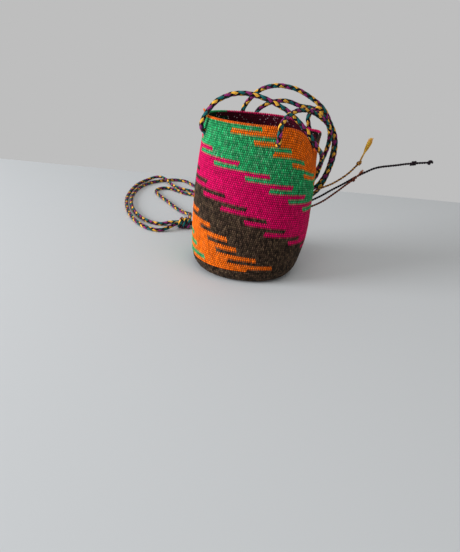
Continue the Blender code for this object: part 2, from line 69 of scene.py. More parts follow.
# Each lamp's name, place, aim, size, power and colour
LAMPS = [
    ("window", (-1.6, -0.5, 0.5), (0.0, 0.0, 0.08), 0.9, 34.0, (0.95, 0.97, 1.0)),
    ("room", (0.1, -0.3, 1.3), (0.0, 0.1, 0.0), 1.2, 4.5, (1.0, 0.97, 0.93)),
]

# Driving dimensions, as in the model
BAG_HEIGHT = 0.156
BAG_WIDTH = 0.122
BAG_DEPTH = 0.102
WALL = 0.0024
BASE_BAND_HEIGHT = 0.0133
EDGING_HEIGHT = 0.0034
RIM_DIP = 0.025
CORNER_DIP = 0.008
GAP = 0.0003
CORD = 0.004
TAIL = 0.0022
EYELET_DROP = 0.0175
CORD_SPACING = 0.00455
BUNDLE_X = 0.0542
BUNDLE_Y = 0.0410
BUNDLE_BOTTOM = 0.037
BUNDLE_LENGTH = 0.016
BUNDLE_RADIUS = 0.0067
BINDING = 0.0022
BINDING_PITCH = 0.0028
BINDING_LOOPS = 5
TAIL_RING_RADIUS = 0.0052
STRAP_RING_RADIUS = 0.0027
WRAP_X = -0.080
WRAP_Y = 0.082
WRAP_PITCH = 0.0052
WRAP_LOOPS = 2.5
WRAP_HEADING = 7.0
STRAND_SPACING = 0.0046
STRAND_PLACES = (0.009, 0.020, 0.031)
TAIL_KNOT_RADIUS = 0.0026
STOPPER_RADIUS = 0.0046
TASSEL_RADIUS = 0.0030
SQUARENESS = 2.2
STATION_SHARES = [
    (0.00, 0.385, -0.020, 0.422, -0.010),
    (0.02, 0.422, -0.019, 0.461, -0.010),
    (0.06, 0.459, -0.016, 0.490, 0.000),
    (0.13, 0.480, -0.012, 0.500, 0.000),
    (0.28, 0.500, 0.000, 0.490, 0.000),
    (0.50, 0.500, 0.000, 0.451, 0.010),
    (0.70, 0.488, 0.004, 0.412, 0.020),
    (0.85, 0.470, 0.004, 0.382, 0.020),
    (1.00, 0.455, 0.005, 0.363, 0.020),
]
DIP_ANGLE = -18.0
DIP_SPREAD = 24.5
CORNER_ANGLE = 31.0
CORNER_SPREAD = 21.0
DIP_START_SHARE = 0.45
FLARE_ANGLE = 14.0
FLARE_SPREAD = 13.0
FLARE_SHARE = 0.11
FLARE_START_SHARE = 0.60
EYELETS = {
    "left": (199.0, 42.0),
    "back_left": (109.5, 42.0),
    "back": (95.0, 42.0),
    "front": (284.0, 42.0),
    "back_right": (36.0, 42.0),
}

# Straight stretches at cords' ends and in eyelets, in diameters of the cord
TOP_STRAIGHT = 1.4
BOTTOM_STRAIGHT = 1.3
LEAD_STRAIGHT = 1.3
WRAP_STRAIGHT = 1.1
EYELET_SHARES = (1.5, 0.5, -0.5, -1.5)
STOPPER_AWAY = 2.3
WRAP_GAPS = 1.6

# The cord ends in the bundle: its waist's height, and their places there and at its foot
BUNDLE_WAIST_AT = 0.045
BUNDLE_WAIST = 0.93
BUNDLE_FOOT = 0.95

# Cord routes in millimetres, as in the model
LOOP_A_ROUTE = [
    (53.5, 34, 66), (59.5, 31, 80.5), (62.5, 27, 92), (65, 22, 100), (65.5, 16.5, 108.5),
    (65.5, 10, 117), (64, 3, 124), (60.8, -5, 130), (57, -12, 134), (53.5, -16.5, 138),
    (48, -17, 145), (43, -15.5, 150.5), (38.5, -14, 154), (34.5, -12.5, 157.5), (28, -11.5, 162),
    (22.5, -11, 166), (14.5, -10.5, 169.5), (7, -10, 172.5), (-1, -10, 175), (-8.5, -10, 176.5),
    (-16, -10, 177.5), (-24.5, -10.5, 177), (-31.5, -11, 175.5), (-38, -12, 172.5),
    (-44, -13.5, 169), (-48.5, -15, 164), (-52, -16, 159), (-55, -16.2, 153), (-57, -15, 147.5),
]
INSIDE_LEFT_ROUTE = [
    (-45.6, -5.5, 131.8), (-45.8, 1.5, 130.8), (-46, 9.5, 130.8), (-43, 17, 130.8),
    (-36, 23, 130.6), (-27, 26.6, 131.2),
]
LOOP_B_ROUTE = [
    (-20.8, 43.6, 148.5), (-20.2, 43.2, 154), (-18.5, 42.5, 159), (-15.5, 41.5, 164.5),
    (-12, 41, 169), (-7.5, 40, 174), (-3, 39.5, 177.5), (2, 39, 180), (9, 38.5, 182),
    (16, 38, 183), (23, 38, 182.5), (30.5, 38, 181.5), (37, 38, 179.5), (44, 38, 176.5),
    (50, 38, 173.5), (56, 38, 170), (61.5, 38, 166), (66, 38, 161.5), (69.5, 38, 156),
    (73.5, 38, 150), (77.5, 38, 144), (80.5, 38, 137), (82.5, 39, 128), (83, 40.5, 118.5),
    (82.5, 42.5, 109), (81, 44.5, 99.5), (79, 46.5, 89.5), (76, 47.5, 81), (71, 47.5, 73.5),
    (62, 46, 66),
]
LOOP_D_ROUTE = [
    (52.5, 38.6, 70), (57.5, 38, 82), (61.5, 37.5, 90), (65.5, 36.5, 97.5), (68, 35, 106),
    (70, 33, 114), (71.5, 30, 123), (72.5, 27, 133), (71.8, 24, 142.5), (69.5, 21, 149.5),
    (64.5, 17, 155.5), (60, 14, 158.5), (55.5, 11, 161.5), (50.5, 7.5, 164), (45, 3, 166.5),
    (38, -3.5, 167.5), (34, -8, 167.5), (30, -13, 167), (26.5, -18, 165.5), (23, -23, 164),
    (20.5, -28, 162), (18, -33.5, 159.5), (16.2, -38, 156), (15.8, -41, 151), (16, -41.2, 146.5),
]
INSIDE_RIGHT_ROUTE = [
    (18.8, -25.8, 131.2), (27.5, -23.6, 128.8), (37, -19.5, 125.6), (44, -12, 121),
    (47.2, -2, 117.5), (45.4, 9, 116), (38.5, 17.5, 116.8), (29.5, 23.5, 120.5),
    (18, 27.4, 126), (6, 28.6, 130), (-2, 30, 132),
]
LOOP_C_ROUTE = [
    (-5.8, 44, 148.5), (-5.4, 44.4, 154), (-3, 44.6, 158), (0.5, 45, 160.5), (5, 45.5, 163.5),
    (10.5, 46, 166), (17.5, 46.5, 167.5), (23, 47, 168), (28, 47.5, 167.5), (33.5, 47.5, 166),
    (39, 47.5, 164.5), (44.5, 47.5, 164), (49.5, 47.5, 164), (54.5, 47.5, 163),
    (58.5, 47.5, 161.5), (63.5, 47.5, 159), (67.5, 47.5, 156), (71, 47.5, 152), (75, 47.5, 146.5),
    (78.5, 48, 141), (81, 48.5, 133.5), (82.5, 49.5, 125), (82.5, 50.5, 116), (82, 51.5, 107),
    (80.5, 53, 97), (77.5, 54.5, 87.5), (72, 55, 78.5), (63, 54, 72), (53, 49.5, 67),
]
SIDE_CORD_ROUTE = [
    (55.5, 42, 69), (60, 43, 81.5), (65.5, 42.5, 94), (69.5, 40.5, 106), (72, 40, 116.5),
    (73.5, 39.5, 123.5), (74, 36.5, 134), (72.5, 34.5, 144.5), (69.5, 33, 150.5),
    (67.5, 34, 154.5), (62.5, 31.5, 164.5), (55.5, 29.5, 166.5), (49.5, 28, 163),
    (47, 28.5, 156.5), (49.5, 31, 148.5), (51, 30.5, 144),
]
STRAP_OUT_ROUTE = [
    (52, 47, 23), (45, 58, 10), (34, 74, 3), (17, 100, 2.1), (0, 130, 2.1), (-20, 162, 2.1),
    (-43, 190, 2.1), (-66, 212, 2.1), (-90, 226, 2.1), (-103, 230, 2.1), (-116, 239, 2.2),
    (-126, 251, 3.5), (-135, 262, 5.8), (-144, 268, 6.5), (-153, 269, 5.2), (-162, 262, 3),
    (-170, 245, 2.1), (-175, 220, 2.1), (-176, 195, 2.1), (-174, 165, 2.1), (-168, 138, 2.1),
    (-159, 112, 2.1), (-147, 89, 2.1), (-133, 71, 2.1), (-119, 61, 2.1), (-106, 60, 2.8),
    (-97, 67, 4.6),
]
STRAP_BIGHT_ROUTE = [
    (-37, 84, 3.5), (-24, 83.5, 2.1), (-12, 87.5, 2.1), (-5, 96.5, 2.1), (-7.5, 107, 2.1),
    (-17.5, 111, 2.1), (-28, 106, 2.1), (-38.5, 95, 3.5),
]
STRAP_BACK_ROUTE = [
    (-98.5, 82.5, 4.8), (-109, 80, 2.6), (-122, 82.5, 2.1), (-135, 92, 2.1), (-149, 111, 2.1),
    (-160, 135, 2.1), (-167, 162, 2.1), (-169.5, 190, 2.1), (-168, 212, 2.1), (-163, 232, 2.1),
    (-155, 248, 2.1), (-145, 260, 2.1), (-132, 270, 2.1), (-118, 275, 2.1), (-103, 272, 2.1),
    (-90, 256, 2.1), (-71, 238, 2.1), (-46, 213, 2.1), (-24, 185, 2.1), (-3, 156, 2.1),
    (15, 128, 2.1), (32, 101, 2.1), (47, 77, 3), (57, 60, 10), (60.5, 48, 22),
]
KEEPER_ROUTE = [
    (49, 43, 22), (40, 54, 9.5), (27, 71, 3), (8, 97, 2.1), (-10, 127, 2.1), (-30, 157, 2.1),
    (-52, 183, 2.1), (-70, 199, 2.1), (-84, 207, 2.1), (-97, 211, 2.1), (-109, 219, 2.1),
    (-120, 226, 2.1), (-130, 227, 2.1), (-138, 220, 2.1), (-140.5, 209, 2.1), (-136, 197, 2.1),
    (-128, 184, 2.1), (-117, 169, 2.1), (-107, 154, 2.1), (-97, 140, 2.1), (-91, 132.8, 2.5),
]
KEEPER_LEAD_ROUTE = [(-87, 128, 3), (-82.6, 122.6, 4.4), (-79, 117, 6), (-76, 107, 9.6)]
YELLOW_TAIL_ROUTE = [
    (61.5, 40.6, 66), (67, 40.5, 74), (74, 40.5, 80.5), (86, 41, 87), (93, 41.5, 92),
    (101, 42, 99), (106, 42, 105),
]
BLACK_TAIL_ROUTE = [
    (61.5, 37.6, 62.5), (69, 38.6, 68), (77, 39.3, 73), (87, 40, 80.5), (98, 40.6, 88),
    (106, 41, 94), (114, 41, 100), (122, 41.5, 105), (129, 42, 109), (136, 42, 111.5),
    (145, 42, 113.5), (152, 42, 115), (160, 42, 117),
]
BROWN_TAIL_ROUTE = [
    (60.5, 34.6, 58), (68, 34.4, 61.5), (79, 34.6, 68.5), (87, 35, 75.5), (93.5, 35.3, 81.8),
    (100.4, 35.5, 88.9),
]
TAIL_PLACES = {
    "yellow_knot": (111.6, 42, 113),
    "tassel_to": (118.8, 42, 139),
    "black_knot": (169.5, 42, 119),
    "black_end": (186.5, 42, 121.6),
    "brown_knot": (108.3, 35.8, 96.5),
    "brown_tuft": (116.3, 36.2, 107),
}

# Braid: three yarns wound each way round a core
BRAID_PITCH = 0.020
BRAID_RADIUS = 0.00156
BRAID_WAVE = 0.00022
BRIGHT_HALF_WIDTH = 0.00142
BRIGHT_HALF_THICKNESS = 0.00060
DARK_HALF_WIDTH = 0.00128
DARK_HALF_THICKNESS = 0.00054
BRAID_CORE = 0.0012
BRAID_STEP = 0.0011
YARN_SIDES = 8
SHADE_STEP = 0.006
SHADE_MARGIN = 0.020
YARN_SHADES = (0.82, 1.15)

# Paths: how closely a curve is followed, and how often its kinks are eased
FINE_STEP = 0.001
EASINGS = 6

# Thin cords: plies twisted round each other. PLY_OUT is a share of a ply's radius, and every
# other place off the middle is in metres
TAIL_STEP = 0.0008
TAIL_TWIST = 0.0052
PLY_OUT = 0.95
YELLOW_PLY = 0.00064
BLACK_PLY = 0.00068
BROWN_PLY = 0.00064
BLACK_TIP_OUT = 0.00065
BLACK_KNOT_SIZE = 1.35
BINDING_PLY = 0.00062
BINDING_PLY_OUT = 0.00052
BINDING_TWIST = 0.0042
STOPPER_TUBE = 0.0016
STOPPER_PLY = 0.0009
STOPPER_PLY_OUT = 0.0008
STOPPER_TWIST = 0.012

# A tail's knot: its turns, and its length, width and plies in radii of the tail's ply
KNOT_TURNS = 2.5
KNOT_LENGTH = 3.6
KNOT_SPREAD = 0.62
KNOT_OUT = 2.55
KNOT_SLANT = 0.5
KNOT_PLY = 0.78
KNOT_PLY_OUT = 0.62
KNOT_TWIST = 0.0045
KNOT_STEPS = 24

# Fringes: the neck's end, the opening and the widest place are shares of the length, and the
# yarn's thickness is a share of the radius
FRINGE_NECK = 0.36
FRINGE_OPENS = 0.2
FRINGE_WIDEST = 0.82
FRINGE_STEP = 0.0015
FRINGE_YARN = 0.11
FRINGE_PALER = 1.45
FRINGE_TURNS = 5.1
TUFT_RADIUS = 0.0019

# Looped fabric: stitches round the bag, rows down its wall, places round it for the colour bands
STITCHES = 160
ROWS = 67
ROWS_UNDER_EDGING = 1
PLACES = 112
STITCH_COLUMNS = 4
ROW_STEPS = 3
RELIEF = 0.00045
RELIEF_MIDDLE = 0.35
LINING_COLUMNS = 2
LINING_STEPS = 2
LINING_RELIEF = 0.0002
EYELET_RADIUS = 0.0024
EYELET_REACH = 0.008
ROW_LEAN = 0.0315
ROW_LEAN_RISE = 1.6
ROW_LEAN_FROM = 28

# Foot of the bag: rows round its side, rings on its underside and on the floor inside
BASE_ROWS = 6
BASE_RINGS = 21
RING_STEPS = 2
RING_REACH = 0.995
UNDERSIDE_RELIEF = 0.00045
FLOOR_RELIEF = 0.0004
FLOOR_LINING_BOTTOM = 0.0031

# Edging: the loops' half width and half height, how far they and their core lie below the middle
EDGING_STEPS = 8
LOOP_OUT = 0.00105
LOOP_UP = 0.0009
LOOP_DROP = 0.0004
EDGING_CORE_DROP = 0.0009
LOOP_YARN = 0.00062
EDGING_CORE = 0.0012
EDGING_CORE_PAINTED_SHADE = 0.45
YARN_END_RADIUS = 0.00068
YARN_END_STEP = 0.0006

# The edging's loose end of yarn: angles, heights over the wall and distances out of it
YARN_END = [
    (190, 0.0, -WALL / 2), (187, 0.0052, 0.0006), (183, 0.0068, 0.0022), (180, 0.0045, 0.0016),
    (179, 0.001, -WALL / 2),
]


def srgb(red, green, blue):
    """Linear colour of a screen colour with channels from 0 to 255."""
    made = []
    for value in (red, green, blue):
        share = value / 255
        made.append(share / 12.92 if share <= 0.04045 else ((share + 0.055) / 1.055) ** 2.4)
    return np.array(made)


GREEN = srgb(34, 153, 89)
MAGENTA = srgb(211, 0, 88)
BROWN = srgb(56, 42, 32)
ORANGE = srgb(239, 106, 8)
# Painted shade darkens the bag's inside, over a dull base tone, with pale specks of painted light
# as if through its stitches
LINING_PAINTED_SHADE = 0.14
LINING_SHADE_BASE_TONE = srgb(14, 9, 10)
PAINTED_LIGHT_SPECK = srgb(255, 215, 225)
PAINTED_LIGHT_SPECK_SHARE = 0.04
YELLOW = srgb(240, 180, 62)
PURPLE = srgb(140, 40, 108)
TEAL = srgb(14, 96, 96)
BLACK = srgb(14, 10, 13)
RUST = srgb(44, 24, 22)
ONE_ORDER = (YELLOW, PURPLE, TEAL)
OTHER_ORDER = (YELLOW, TEAL, PURPLE)
OCHRE = srgb(206, 150, 62)
UMBER = srgb(96, 50, 36)
SOOT = (BLACK * 0.8, srgb(40, 20, 36))
CHESTNUT = (srgb(140, 72, 44), srgb(84, 40, 38))
TUFT = srgb(190, 112, 70)
TABLE = srgb(206, 209, 211)


# Nodes


def feed(tree, socket, value):
    """Joins the input to another node's output, or sets it."""
    if isinstance(value, bpy.types.NodeSocket):
        tree.links.new(value, socket)
    else:
        socket.default_value = value


def add_node(tree, kind, inputs=None, **settings):
    node = tree.nodes.new("ShaderNode" + kind)
    for name, value in settings.items():
        setattr(node, name, value)
    for name, value in (inputs or {}).items():
        feed(tree, node.inputs[name], value)
    return node


def spread(tree, value, to_min, to_max, from_min=0.0, from_max=1.0):
    """The value, mapped from one range to another."""
    ends = {"From Min": from_min, "From Max": from_max, "To Min": to_min, "To Max": to_max}
    return add_node(tree, "MapRange", {"Value": value, **ends}).outputs["Result"]


def pair(tree, operation, one, other):
    return add_node(tree, "Math", {0: one, 1: other}, operation=operation).outputs["Value"]


def new_material(name, inputs):
    made = bpy.data.materials.new(name)
    made.use_nodes = True
    shader = made.node_tree.nodes["Principled BSDF"]
    for key, value in inputs.items():
        feed(made.node_tree, shader.inputs[key], value)
    return made, made.node_tree, shader


# Camera and light


def add_object(name, data):
    made = bpy.data.objects.new(name, data)
    bpy.context.scene.collection.objects.link(made)
    return made


def make_camera():
    data = bpy.data.cameras.new("camera")
    data.lens = CAMERA_LENS
    data.sensor_width = CAMERA_SENSOR
    data.clip_start = 0.01
    camera = add_object("camera", data)
    turn = Matrix.Rotation(math.radians(90 - CAMERA_DOWN), 4, "X")
    roll = Matrix.Rotation(math.radians(CAMERA_ROLL), 4, "Z")
    camera.matrix_world = Matrix.Translation(CAMERA_AT) @ turn @ roll
    bpy.context.scene.camera = camera


def area_light(name, place, aim, size, power, colour):
    data = bpy.data.lights.new(name, "AREA")
    data.shape = "DISK"
    data.size = size
    data.energy = power
    data.color = colour
    lamp = add_object(name, data)
    lamp.location = place
    lamp.rotation_euler = (Vector(aim) - Vector(place)).to_track_quat("-Z", "Y").to_euler()


def make_stage():
    """The table, a wall that is only the world's colour, and the lamps."""
    data = bpy.data.meshes.new("floor")
    near = [(-TABLE_REACH, -TABLE_REACH, 0.0), (TABLE_REACH, -TABLE_REACH, 0.0)]
    far = [(TABLE_REACH, TABLE_FAR_RIGHT, 0.0), (-TABLE_REACH, TABLE_FAR_LEFT, 0.0)]
    data.from_pydata(near + far, [], [(0, 1, 2, 3)])
    floor = add_object("floor", data)
    look = {"Base Color": (*TABLE, 1.0), "Roughness": 0.7, "Specular IOR Level": 0.15}
    data.materials.append(new_material("floor", look)[0])
    world = bpy.data.worlds.new("studio")
    world.use_nodes = True
    tree = world.node_tree
    background = tree.nodes["Background"]
    background.inputs["Color"].default_value = (1.0, 1.0, 1.0, 1.0)
    rays = add_node(tree, "LightPath").outputs
    seen = rays["Is Camera Ray"]
    for other in ("Is Glossy Ray", "Is Transmission Ray"):
        seen = pair(tree, "MAXIMUM", seen, rays[other])
    feed(tree, background.inputs["Strength"], spread(tree, seen, SKY_LIGHT, WALL_LIGHT))
    bpy.context.scene.world = world
    for lamp in LAMPS:
        area_light(*lamp)
    bpy.context.scene.view_settings.view_transform = "Standard"


# Curves


def metres(points):
    return [Vector(p) * MM for p in points]


def as_rows(points):
    return np.array([tuple(p) for p in points])


def cross_axes(way):
    """Two axes across the way, square to each other."""
    across = way.orthogonal().normalized()
    return across, way.cross(across)


def smooth_route(points, longest):
    """Points of a centripetal curve through the route's own, close together."""
    ends = [points[0] * 2 - points[1]] + points + [points[-1] * 2 - points[-2]]
    path = []
    for i in range(1, len(points)):
        p0, p1, p2, p3 = ends[i - 1 : i + 3]
        t1 = (p1 - p0).length ** 0.5
        t2 = t1 + (p2 - p1).length ** 0.5
        t3 = t2 + (p3 - p2).length ** 0.5
        pieces = max(1, math.ceil((p2 - p1).length / longest))
        for k in range(pieces):
            t = t1 + (t2 - t1) * k / pieces
            a1 = p0 * ((t1 - t) / t1) + p1 * (t / t1)
            a2 = p1 * ((t2 - t) / (t2 - t1)) + p2 * ((t - t1) / (t2 - t1))
            a3 = p2 * ((t3 - t) / (t3 - t2)) + p3 * ((t - t2) / (t3 - t2))
            b1 = a1 * ((t2 - t) / t2) + a2 * (t / t2)
            b2 = a2 * ((t3 - t) / (t3 - t1)) + a3 * ((t - t1) / (t3 - t1))
            path.append(b1 * ((t2 - t) / (t2 - t1)) + b2 * ((t - t1) / (t2 - t1)))
    return path + [points[-1]]


def lengths_along(path):
    steps = np.linalg.norm(np.diff(path, axis=0), axis=1)
    return np.concatenate([[0.0], np.cumsum(steps)])


def even_path(points, step):
    """The smooth curve through the points, at even steps, with its small kinks eased."""
    path = as_rows(smooth_route(points, FINE_STEP))
    along = lengths_along(path)
    count = max(2, round(along[-1] / step))
    even = np.linspace(0.0, along[-1], count + 1)
    path = np.stack([np.interp(even, along, path[:, k]) for k in range(3)], axis=1)
    for _ in range(EASINGS):
        path[1:-1] = path[1:-1] * 0.5 + (path[:-2] + path[2:]) * 0.25
    return path


def path_frames(path):
    """Unit tangents, and two normals that turn as little as they can along the path."""
    tangents = np.gradient(path, axis=0)
    tangents /= np.linalg.norm(tangents, axis=1)[:, None]
    side = np.cross(tangents[0], (0.0, 0.0, 1.0))
    if np.linalg.norm(side) < 0.2:
        side = np.cross(tangents[0], (1.0, 0.0, 0.0))
    normals = []
    for tangent in tangents:
        side = side - tangent * (side @ tangent)
        side = side / np.linalg.norm(side)
        normals.append(side)
    normals = np.array(normals)
    return tangents, normals, np.cross(tangents, normals)


class Strands:
    """Collects tubes into one mesh, each vertex with its colour and its place along the yarn."""

    def __init__(self):
        self.points, self.faces, self.tints, self.places = [], [], [], []
        self.count = 0

    def tube(self, centre, across, other, half_across, half_other, tint, sides, shift):
        rows = len(centre)
        turn = 2 * math.pi * np.arange(sides) / sides
        wide = across[:, None, :] * np.cos(turn)[None, :, None] * half_across
        tall = other[:, None, :] * np.sin(turn)[None, :, None] * half_other
        ring = centre[:, None, :] + wide + tall
        self.points.append(ring.reshape(-1, 3))
        along = lengths_along(centre) / MM + shift
        place = np.empty((rows, sides, 2))
        place[:, :, 0] = along[:, None]
        place[:, :, 1] = (np.arange(sides) / sides)[None, :]
        self.places.append(place.reshape(-1, 2))
        tints = np.broadcast_to(np.reshape(tint, (-1, 1, 3)), (rows, sides, 3))
        self.tints.append(tints.reshape(-1, 3))
        i = np.arange(rows - 1)[:, None] * sides
        j = np.arange(sides)[None, :]
        k = (j + 1) % sides
        quads = np.stack([i + j, i + k, i + sides + k, i + sides + j], axis=2).reshape(-1, 4)
        self.faces += (quads + self.count).tolist()
        self.faces.append([self.count + s for s in reversed(range(sides))])
        last = self.count + (rows - 1) * sides
        self.faces.append([last + s for s in range(sides)])
        self.count += rows * sides

    def round_tube(self, path, radius, tint, sides=6, shift=0.0):
        path = np.array(path)
        _, normals, others = path_frames(path)
        self.tube(path, normals, others, radius, radius, tint, sides, shift)

    def finish(self, name, material):
        points = np.concatenate(self.points)
        data = bpy.data.meshes.new(name)
        data.from_pydata(points.tolist(), [], self.faces)
        tint = data.attributes.new("tint", "FLOAT_COLOR", "POINT")
        values = np.ones((len(points), 4), np.float32)
        values[:, :3] = np.concatenate(self.tints)
        tint.data.foreach_set("color", values.ravel())
        place = np.concatenate(self.places)
        corners = np.empty(len(data.loops), np.int32)
        data.loops.foreach_get("vertex_index", corners)
        layer = data.uv_layers.new(name="yarn")
        layer.data.foreach_set("uv", place[corners].astype(np.float32).ravel())
        data.shade_smooth()
        data.materials.append(material)
        return add_object(name, data)


def braid_into(strands, path, phase, seed, colours=ONE_ORDER):
    """Six flat yarns over and under each other round the path."""
    rng = np.random.default_rng(seed)
    _, normals, others = path_frames(path)
    along = lengths_along(path) + phase
    turn = 2 * math.pi * along / BRAID_PITCH
    bright = (BRIGHT_HALF_WIDTH, BRIGHT_HALF_THICKNESS)
    dark = (DARK_HALF_WIDTH, DARK_HALF_THICKNESS)
    marks = np.arange(along[0], along[-1] + SHADE_MARGIN, SHADE_STEP)
    for way, sizes, group in ((1, bright, colours), (-1, dark, (BLACK, BLACK, RUST))):
        for k, colour in enumerate(group):
            angle = way * turn + 2 * math.pi * k / 3
            out = normals * np.cos(angle)[:, None] + others * np.sin(angle)[:, None]
            radius = BRAID_RADIUS + way * BRAID_WAVE * np.cos(3 * turn)
            centre = path + out * radius[:, None]
            run = np.gradient(centre, axis=0)
            run /= np.linalg.norm(run, axis=1)[:, None]
            flat = np.cross(run, out)
            flat /= np.linalg.norm(flat, axis=1)[:, None]
            shades = np.interp(along, marks, rng.uniform(*YARN_SHADES, len(marks)))
            tints = colour[None, :] * shades[:, None]
            strands.tube(centre, flat, out, *sizes, tints, YARN_SIDES, 7.0 * k)
    strands.round_tube(path, BRAID_CORE, BLACK * 0.6)


def braid(name, points, material, phase, seed, colours=ONE_ORDER):
    path = even_path(points, BRAID_STEP)
    path[:, 2] = np.maximum(path[:, 2], BRAID_RADIUS + BRAID_WAVE + BRIGHT_HALF_THICKNESS)
    strands = Strands()
    braid_into(strands, path, phase, seed, colours)
    return strands.finish(name, material), path


def twist_into(strands, path, ply_radius, offset, pitch, colours):
    """Plies laid round each other along the path."""
    _, normals, others = path_frames(path)
    along = lengths_along(path)
    for k, colour in enumerate(colours):
        angle = 2 * math.pi * (along / pitch + k / len(colours))
        out = normals * np.cos(angle)[:, None] + others * np.sin(angle)[:, None]
        strands.round_tube(path + out * offset, ply_radius, colour, shift=5.0 * k)


# Materials


def finish_material(made, tree, shader, shade, roughness, height, strength, depth):
    """Colour from the mesh times the shade, with the roughness and a small bump."""
    tint = add_node(tree, "Attribute", attribute_name="tint").outputs["Color"]
    sources = {"Factor": 1.0, "A": tint, "B": shade}
    mixed = add_node(tree, "Mix", sources, data_type="RGBA", blend_type="MULTIPLY")
    bump = add_node(tree, "Bump", {"Strength": strength, "Distance": depth, "Height": height})
    feed(tree, shader.inputs["Base Color"], mixed.outputs["Result"])
    feed(tree, shader.inputs["Roughness"], roughness)
    feed(tree, shader.inputs["Normal"], bump.outputs["Normal"])
    return made


def yarn_material(name, lines, depth):
    """Fibres that run slanted along each yarn, in the colour that its mesh carries."""
    look = {"Sheen Weight": 0.08, "Sheen Roughness": 0.5, "Specular IOR Level": 0.15}
    made, tree, shader = new_material(name, look)
    place = add_node(tree, "UVMap", uv_map="yarn").outputs["UV"]
    lie = {"Vector": place, "Scale": (0.9, lines, 1.0), "Rotation": (0.0, 0.0, 0.35)}
    stretch = add_node(tree, "Mapping", lie).outputs["Vector"]
    grain = {"Vector": stretch, "Scale": 1.0, "Detail": 3.0}
    fibres = add_node(tree, "TexNoise", grain).outputs["Fac"]
    shade = spread(tree, fibres, 0.62, 1.22, 0.3, 0.7)
    roughness = spread(tree, fibres, 0.70, 0.92)
    return finish_material(made, tree, shader, shade, roughness, fibres, 0.6, depth)


def crochet_material(name):
    """Stitches in the mesh's colour, with painted shade darkest in the grooves between them and
    lightest on their crowns, and twisted yarn on each.
    """
    look = {"Sheen Weight": 0.02, "Sheen Roughness": 0.5, "Specular IOR Level": 0.08}
    made, tree, shader = new_material(name, look)
    relief = add_node(tree, "Attribute", attribute_name="relief").outputs["Fac"]
    place = add_node(tree, "UVMap", uv_map="stitches").outputs["UV"]
    twist = {"Vector": place, "Scale": 1.1, "Distortion": 1.5, "Detail": 2.0}
    plies = add_node(tree, "TexWave", twist, wave_type="BANDS", bands_direction="DIAGONAL")
    grain = {"Vector": place, "Scale": 6.0, "Detail": 4.0}
    fuzz = add_node(tree, "TexNoise", grain).outputs["Fac"]
    # Painted shade from the relief: dark in the grooves, lighter on the crowns
    dark = spread(tree, relief, 0.12, 1.3, 0.0, 0.9)
    shade = pair(tree, "MULTIPLY", dark, spread(tree, fuzz, 0.78, 1.2, 0.3, 0.7))
    roughness = spread(tree, fuzz, 0.68, 0.92)
    height = pair(tree, "ADD", plies.outputs["Fac"], fuzz)
    return finish_material(made, tree, shader, shade, roughness, height, 0.5, 0.00025)


# Bag surface, as in the model


def station(share):
    rows = STATION_SHARES
    last = len(rows) - 2
    low = max(i for i in range(len(rows) - 1) if rows[i][0] <= share or i == 0)
    low = min(low, last)
    a, b = rows[low], rows[low + 1]
    before, after = rows[max(low - 1, 0)], rows[min(low + 2, last + 1)]
    span = b[0] - a[0]
    u = (share - a[0]) / span
    values = []
    for k in range(1, 5):
        slope_a = (b[k] - before[k]) / (b[0] - before[0])
        slope_b = (after[k] - a[k]) / (after[0] - a[0])
        values.append(
            (1 + 2 * u) * (1 - u) ** 2 * a[k]
            + u * (1 - u) ** 2 * span * slope_a
            + u * u * (3 - 2 * u) * b[k]
            + u * u * (u - 1) * span * slope_b
        )
    half_width, shift_x, half_depth, shift_y = values
    return half_width * BAG_WIDTH, shift_x * BAG_WIDTH, half_depth * BAG_DEPTH, shift_y * BAG_DEPTH


def bell(angle, centre, spread):
    away = (angle - centre + 180.0) % 360.0 - 180.0
    return math.exp(-((away / spread) ** 2))


def past(share, start):
    return max(0.0, (share - start) / (1.0 - start)) ** 2


def wall_point(height, angle, outward=0.0):
    """A point of the bag's outer surface, at a height before the rim dips, and an angle from +X."""
    share = height / BAG_HEIGHT
    half_width, shift_x, half_depth, shift_y = station(share)
    flare = bell(angle, FLARE_ANGLE, FLARE_SPREAD) * past(share, FLARE_START_SHARE)
    flare = 1.0 + FLARE_SHARE * flare
    turn = math.radians(angle)
    cosine, sine = math.cos(turn), math.sin(turn)
    x = math.copysign(abs(cosine) ** (2 / SQUARENESS), cosine)
    y = math.copysign(abs(sine) ** (2 / SQUARENESS), sine)
    dip = RIM_DIP * bell(angle, DIP_ANGLE, DIP_SPREAD)
    dip += CORNER_DIP * bell(angle, CORNER_ANGLE, CORNER_SPREAD)
    return Vector(
        (
            shift_x + (half_width * flare + outward) * x,
            shift_y + (half_depth * flare + outward) * y,
            height - dip * past(share, DIP_START_SHARE),
        )
    )


def wall_top():
    return BAG_HEIGHT - EDGING_HEIGHT - 2 * GAP


def eyelet_frame(name):
    """Middle of an eyelet in the wall's thickness, and its axis, out of the bag and upwards."""
    angle, tilt = EYELETS[name]
    height = BAG_HEIGHT - EYELET_DROP
    middle = wall_point(height, angle, -WALL / 2)
    along = wall_point(height, angle + 1.0) - wall_point(height, angle - 1.0)
    level = Vector((along.y, -along.x, 0.0)).normalized()
    rise = math.radians(tilt)
    return middle, level * math.cos(rise) + Vector((0.0, 0.0, math.sin(rise)))


# Cords


def bundle_top():
    return BUNDLE_BOTTOM + BUNDLE_LENGTH


def bundle_point(radius, angle, height):
    turn = math.radians(angle)
    return Vector((BUNDLE_X + radius * math.cos(turn), BUNDLE_Y + radius * math.sin(turn), height))


def top_end(radius, angle, diameter):
    start = bundle_top() + GAP
    above = start + TOP_STRAIGHT * diameter
    return [bundle_point(radius, angle, start), bundle_point(radius, angle, above)]


def bottom_end(angle):
    start = BUNDLE_BOTTOM - GAP
    return [
        bundle_point(STRAP_RING_RADIUS, angle, start),
        bundle_point(STRAP_RING_RADIUS, angle, start - BOTTOM_STRAIGHT * CORD),
    ]


def through_eyelet(name):
    middle, axis = eyelet_frame(name)
    return [middle + axis * (CORD * share) for share in EYELET_SHARES]


